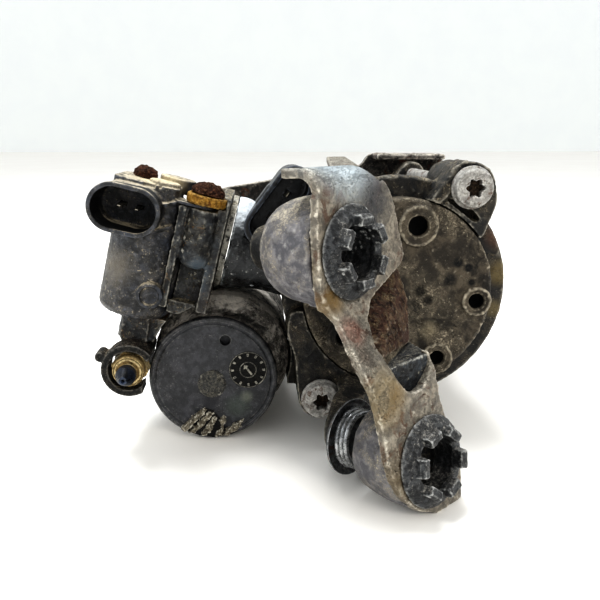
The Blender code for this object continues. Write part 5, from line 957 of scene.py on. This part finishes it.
show(cup, RUBBER, "bracket", ["lower_isolator_cup"])
show(helix("upper_coil_spring", 6.2, 1.5, 5.3, 2.6, parent=SEAT_U, at=(0, 0, -28.4)), SPRING, "root", ["upper_isolator_spring"])
show(helix("lower_coil_spring", 9.6, 2.0, 8.0, 3.2, end_radius=9.0, parent=SPRING_L, at=(0, 0, -33.1)), SPRING, "root", ["lower_isolator_spring"])
DISH = grimy("spring_dish", rgb(66, 68, 70), rgb(104, 105, 106), rgb(150, 144, 132), amount=0.25, patch=5, top=0.2, edge=rgb(206, 206, 204), edge_amount=0.8, rust=rgb(96, 70, 52), rust_amount=0.2,
             rough=0.4, metallic=0.35, bump=0.4, offset=64.0)
show(crisp("upper_spring_dish", [lathe(rounded([(0, -30.3), (7.8, -30.3), (9.4, -29.1), (9.4, -28.2), (8.0, -28.8), (0, -28.8)], 0.4, closed=False), 96, closed=False, parent=SEAT_U)]), DISH, "root", ["upper_isolator_dish"])
show(crisp("lower_spring_dish", [lathe(rounded([(0, -34.2), (11.3, -34.2), (13.2, -32.4), (13.2, -31.6), (11.5, -33.5), (0, -33.5)], 0.35, closed=False), 96, closed=False, parent=SPRING_L)]), DISH, "root", ["lower_isolator_dish"])

# ---- rear bracket -----------------------------------------------------------
rear_outline = rounded([(-70, 30.6), (-44, 35.0), (-24, 39.2), (-11.6, 41.4), (2, 41.4), (6, 48), (42, 48), (46, 44), (46, 12), (40, -8), (40, FLOOR_Z + 0.4), (22, FLOOR_Z + 0.4), (22, -10), (12, 4), (-10, 8), (-40, 23), (-70, 21.5)], 3.0)
rear_bracket = cast(
    "rear_bracket_sheet",
    [slab(xz(rear_outline), 105.0, 108.0, **FACING), block((43.2, 90, 29), (45.8, 106.4, 43.8)), block((8, 91, 45.3), (42.3, 106.8, 47.8)), block((22.3, 96, FLOOR_Z), (39.7, 106.1, FLOOR_Z + 2.7)),
     slab(ring(12.5, 64), -0.5, 3.2, at=(REAR_PIN[0], 105.0, REAR_PIN[1]), **FACING),
     hull([(x, y, z) for x in (9, 14) for y, z in ((92, 45.4), (106, 45.4), (92, 48.3), (106, 48.3))]),
     hull([(x, y, z) for x, z in ((30, 40), (32, 40), (30, -40), (32, -40)) for y in (106.5, 108.9)])],
    [cyl(9.8, 12, steps=64, at=(REAR_PIN[0], 100, REAR_PIN[1]), axis=BACK), block((-30, 90, RAIL_Z[0] - GAP), (0, 120, 60))],
    voxel=0.55, soften=5)
weather(rear_bracket, 0.15, 2.6, 0.3, 1.8, seed=47.0)
show(rear_bracket, REARBRACKET, "bracket", ["rear_bracket"])
show(crisp("rear_rubber_ring", [lathe(rounded([(13.0, 101.5), (13.0, 104.1), (9.4, 104.1), (9.4, 108.6), (13.0, 108.6), (13.0, 111.5), (6.5, 111.5), (6.5, 101.5)], 0.8), 96, at=(REAR_PIN[0], 0, REAR_PIN[1]), axis=BACK)]),
     RUBBER, "bracket", ["rear_isolator_ring"])
stud = [(0, 98.4), (5.6, 98.4), (5.6, 99.4), (3.6, 99.4)]
y = 103.0
while y < 112.6:
    stud += [(3.6, y), (3.15, y + 0.4), (3.6, y + 0.8)]
    y += 1.0
stud += [(3.0, 114.0), (0, 114.0)]
show(crisp("rear_threaded_stud", [lathe(stud, 64, closed=False, at=(REAR_PIN[0], 0, REAR_PIN[1]), axis=BACK)], angle=50), BOLT, "root", ["rear_isolator_stud"])

# ---- pieces kept as they are in the CAD --------------------------------------
KEPT = {"armature": LAMINATE, "brush_holder": CONNECTOR, "brush_left": CARBON, "brush_right": CARBON, "commutator": COPPER, "crank": STEEL, "crankpin_bearing": STEEL, "discharge_reed": STEEL,
        "dryer_cartridge": BEADS, "dryer_seal": ORING, "dryer_spring": SPRING, "front_bearing": STEEL, "magnet_left": FERRITE, "magnet_right": FERRITE, "motor_shaft": STEEL, "piston_rod": ALUMINIUM,
        "piston_seal": CARBON, "rear_bearing": BRASS, "solenoid_coil": COPPER, "solenoid_core": STEEL, "solenoid_plunger": STEEL, "valve_plate": HEADCAST}
for name, look in KEPT.items():
    node = frame["nodes"][name]
    node.data.materials.clear()
    node.data.materials.append(look)

for spare in list(TEMP.objects):
    bpy.data.objects.remove(spare, do_unlink=True)
SCENE.collection.children.unlink(TEMP)
bpy.data.collections.remove(TEMP)

# ---- floor, light and camera ------------------------------------------------
def plain(name, colour, rough, mottle):
    n = Nodes(name)
    tone = n.mix(n.ramp(n.noise(260, 4, 0.6), 0.3, 0.7), colour, mottle)
    return n.done(tone, rough, n.bump(n.noise(3.0, 3, 0.6), 0.05, 0.0002))


def sheet(name, corners, look):
    mesh = bpy.data.meshes.new(name)
    mesh.from_pydata([tuple(Vector(c) * MM) for c in corners], [], [(0, 1, 2, 3)])
    mesh.materials.append(look)
    obj = bpy.data.objects.new(name, mesh)
    SCENE.collection.objects.link(obj)
    return obj


Z = FLOOR_Z - 0.05
sheet("floor", [(-9000, -1500, Z), (9000, -1500, Z), (9000, 6000, Z), (-9000, 6000, Z)], plain("floor_paint", rgb(240, 236, 230), 0.55, rgb(243, 240, 234)))
sheet("backdrop", [(-9000, 6000, Z - 10), (9000, 6000, Z - 10), (9000, 6000, 6000), (-9000, 6000, 6000)], plain("wall_paint", rgb(246, 248, 247), 0.8, rgb(248, 250, 248)))

world = bpy.data.worlds.new("studio")
SCENE.world = world
world.use_nodes = True
world.node_tree.nodes["Background"].inputs["Color"].default_value = (0.95, 0.975, 1.0, 1.0)
world.node_tree.nodes["Background"].inputs["Strength"].default_value = 0.8


def area(name, at, aim, size, power, colour=(1, 1, 1)):
    data = bpy.data.lights.new(name, "AREA")
    data.shape = "DISK"
    data.size = size
    data.energy = power
    data.color = colour
    obj = bpy.data.objects.new(name, data)
    obj.location = at
    obj.rotation_euler = (Vector(aim) - Vector(at)).to_track_quat("-Z", "Y").to_euler()
    SCENE.collection.objects.link(obj)
    return obj


area("light_above", (-0.2, 0.22, 1.1), (-0.03, 0.02, 0), 0.55, 13.0, (0.93, 0.965, 1.0))
area("light_front", (0.45, -0.9, 0.65), (-0.03, 0.0, 0), 0.35, 3.4, (1.0, 0.97, 0.93))
area("light_left", (-1.1, -0.1, 0.6), (-0.03, 0.0, 0), 0.4, 2.0, (0.94, 0.97, 1.0))

R = Vector((0.9976, -0.0698, 0.0))
F = Vector((0.0675, 0.9658, -0.2504)).normalized()
U = R.cross(F).normalized()
R = F.cross(U).normalized()
data = bpy.data.cameras.new("camera")
data.sensor_width = 36.0
data.lens = 37.2
data.clip_start = 0.01
data.clip_end = 50.0
camera = bpy.data.objects.new("camera", data)
camera.matrix_world = Matrix(((R.x, U.x, -F.x, -0.0514), (R.y, U.y, -F.y, -0.2172), (R.z, U.z, -F.z, 0.0548), (0, 0, 0, 1)))
SCENE.collection.objects.link(camera)
SCENE.camera = camera
SCENE.view_settings.view_transform = "Standard"
SCENE.view_settings.look = "High Contrast"
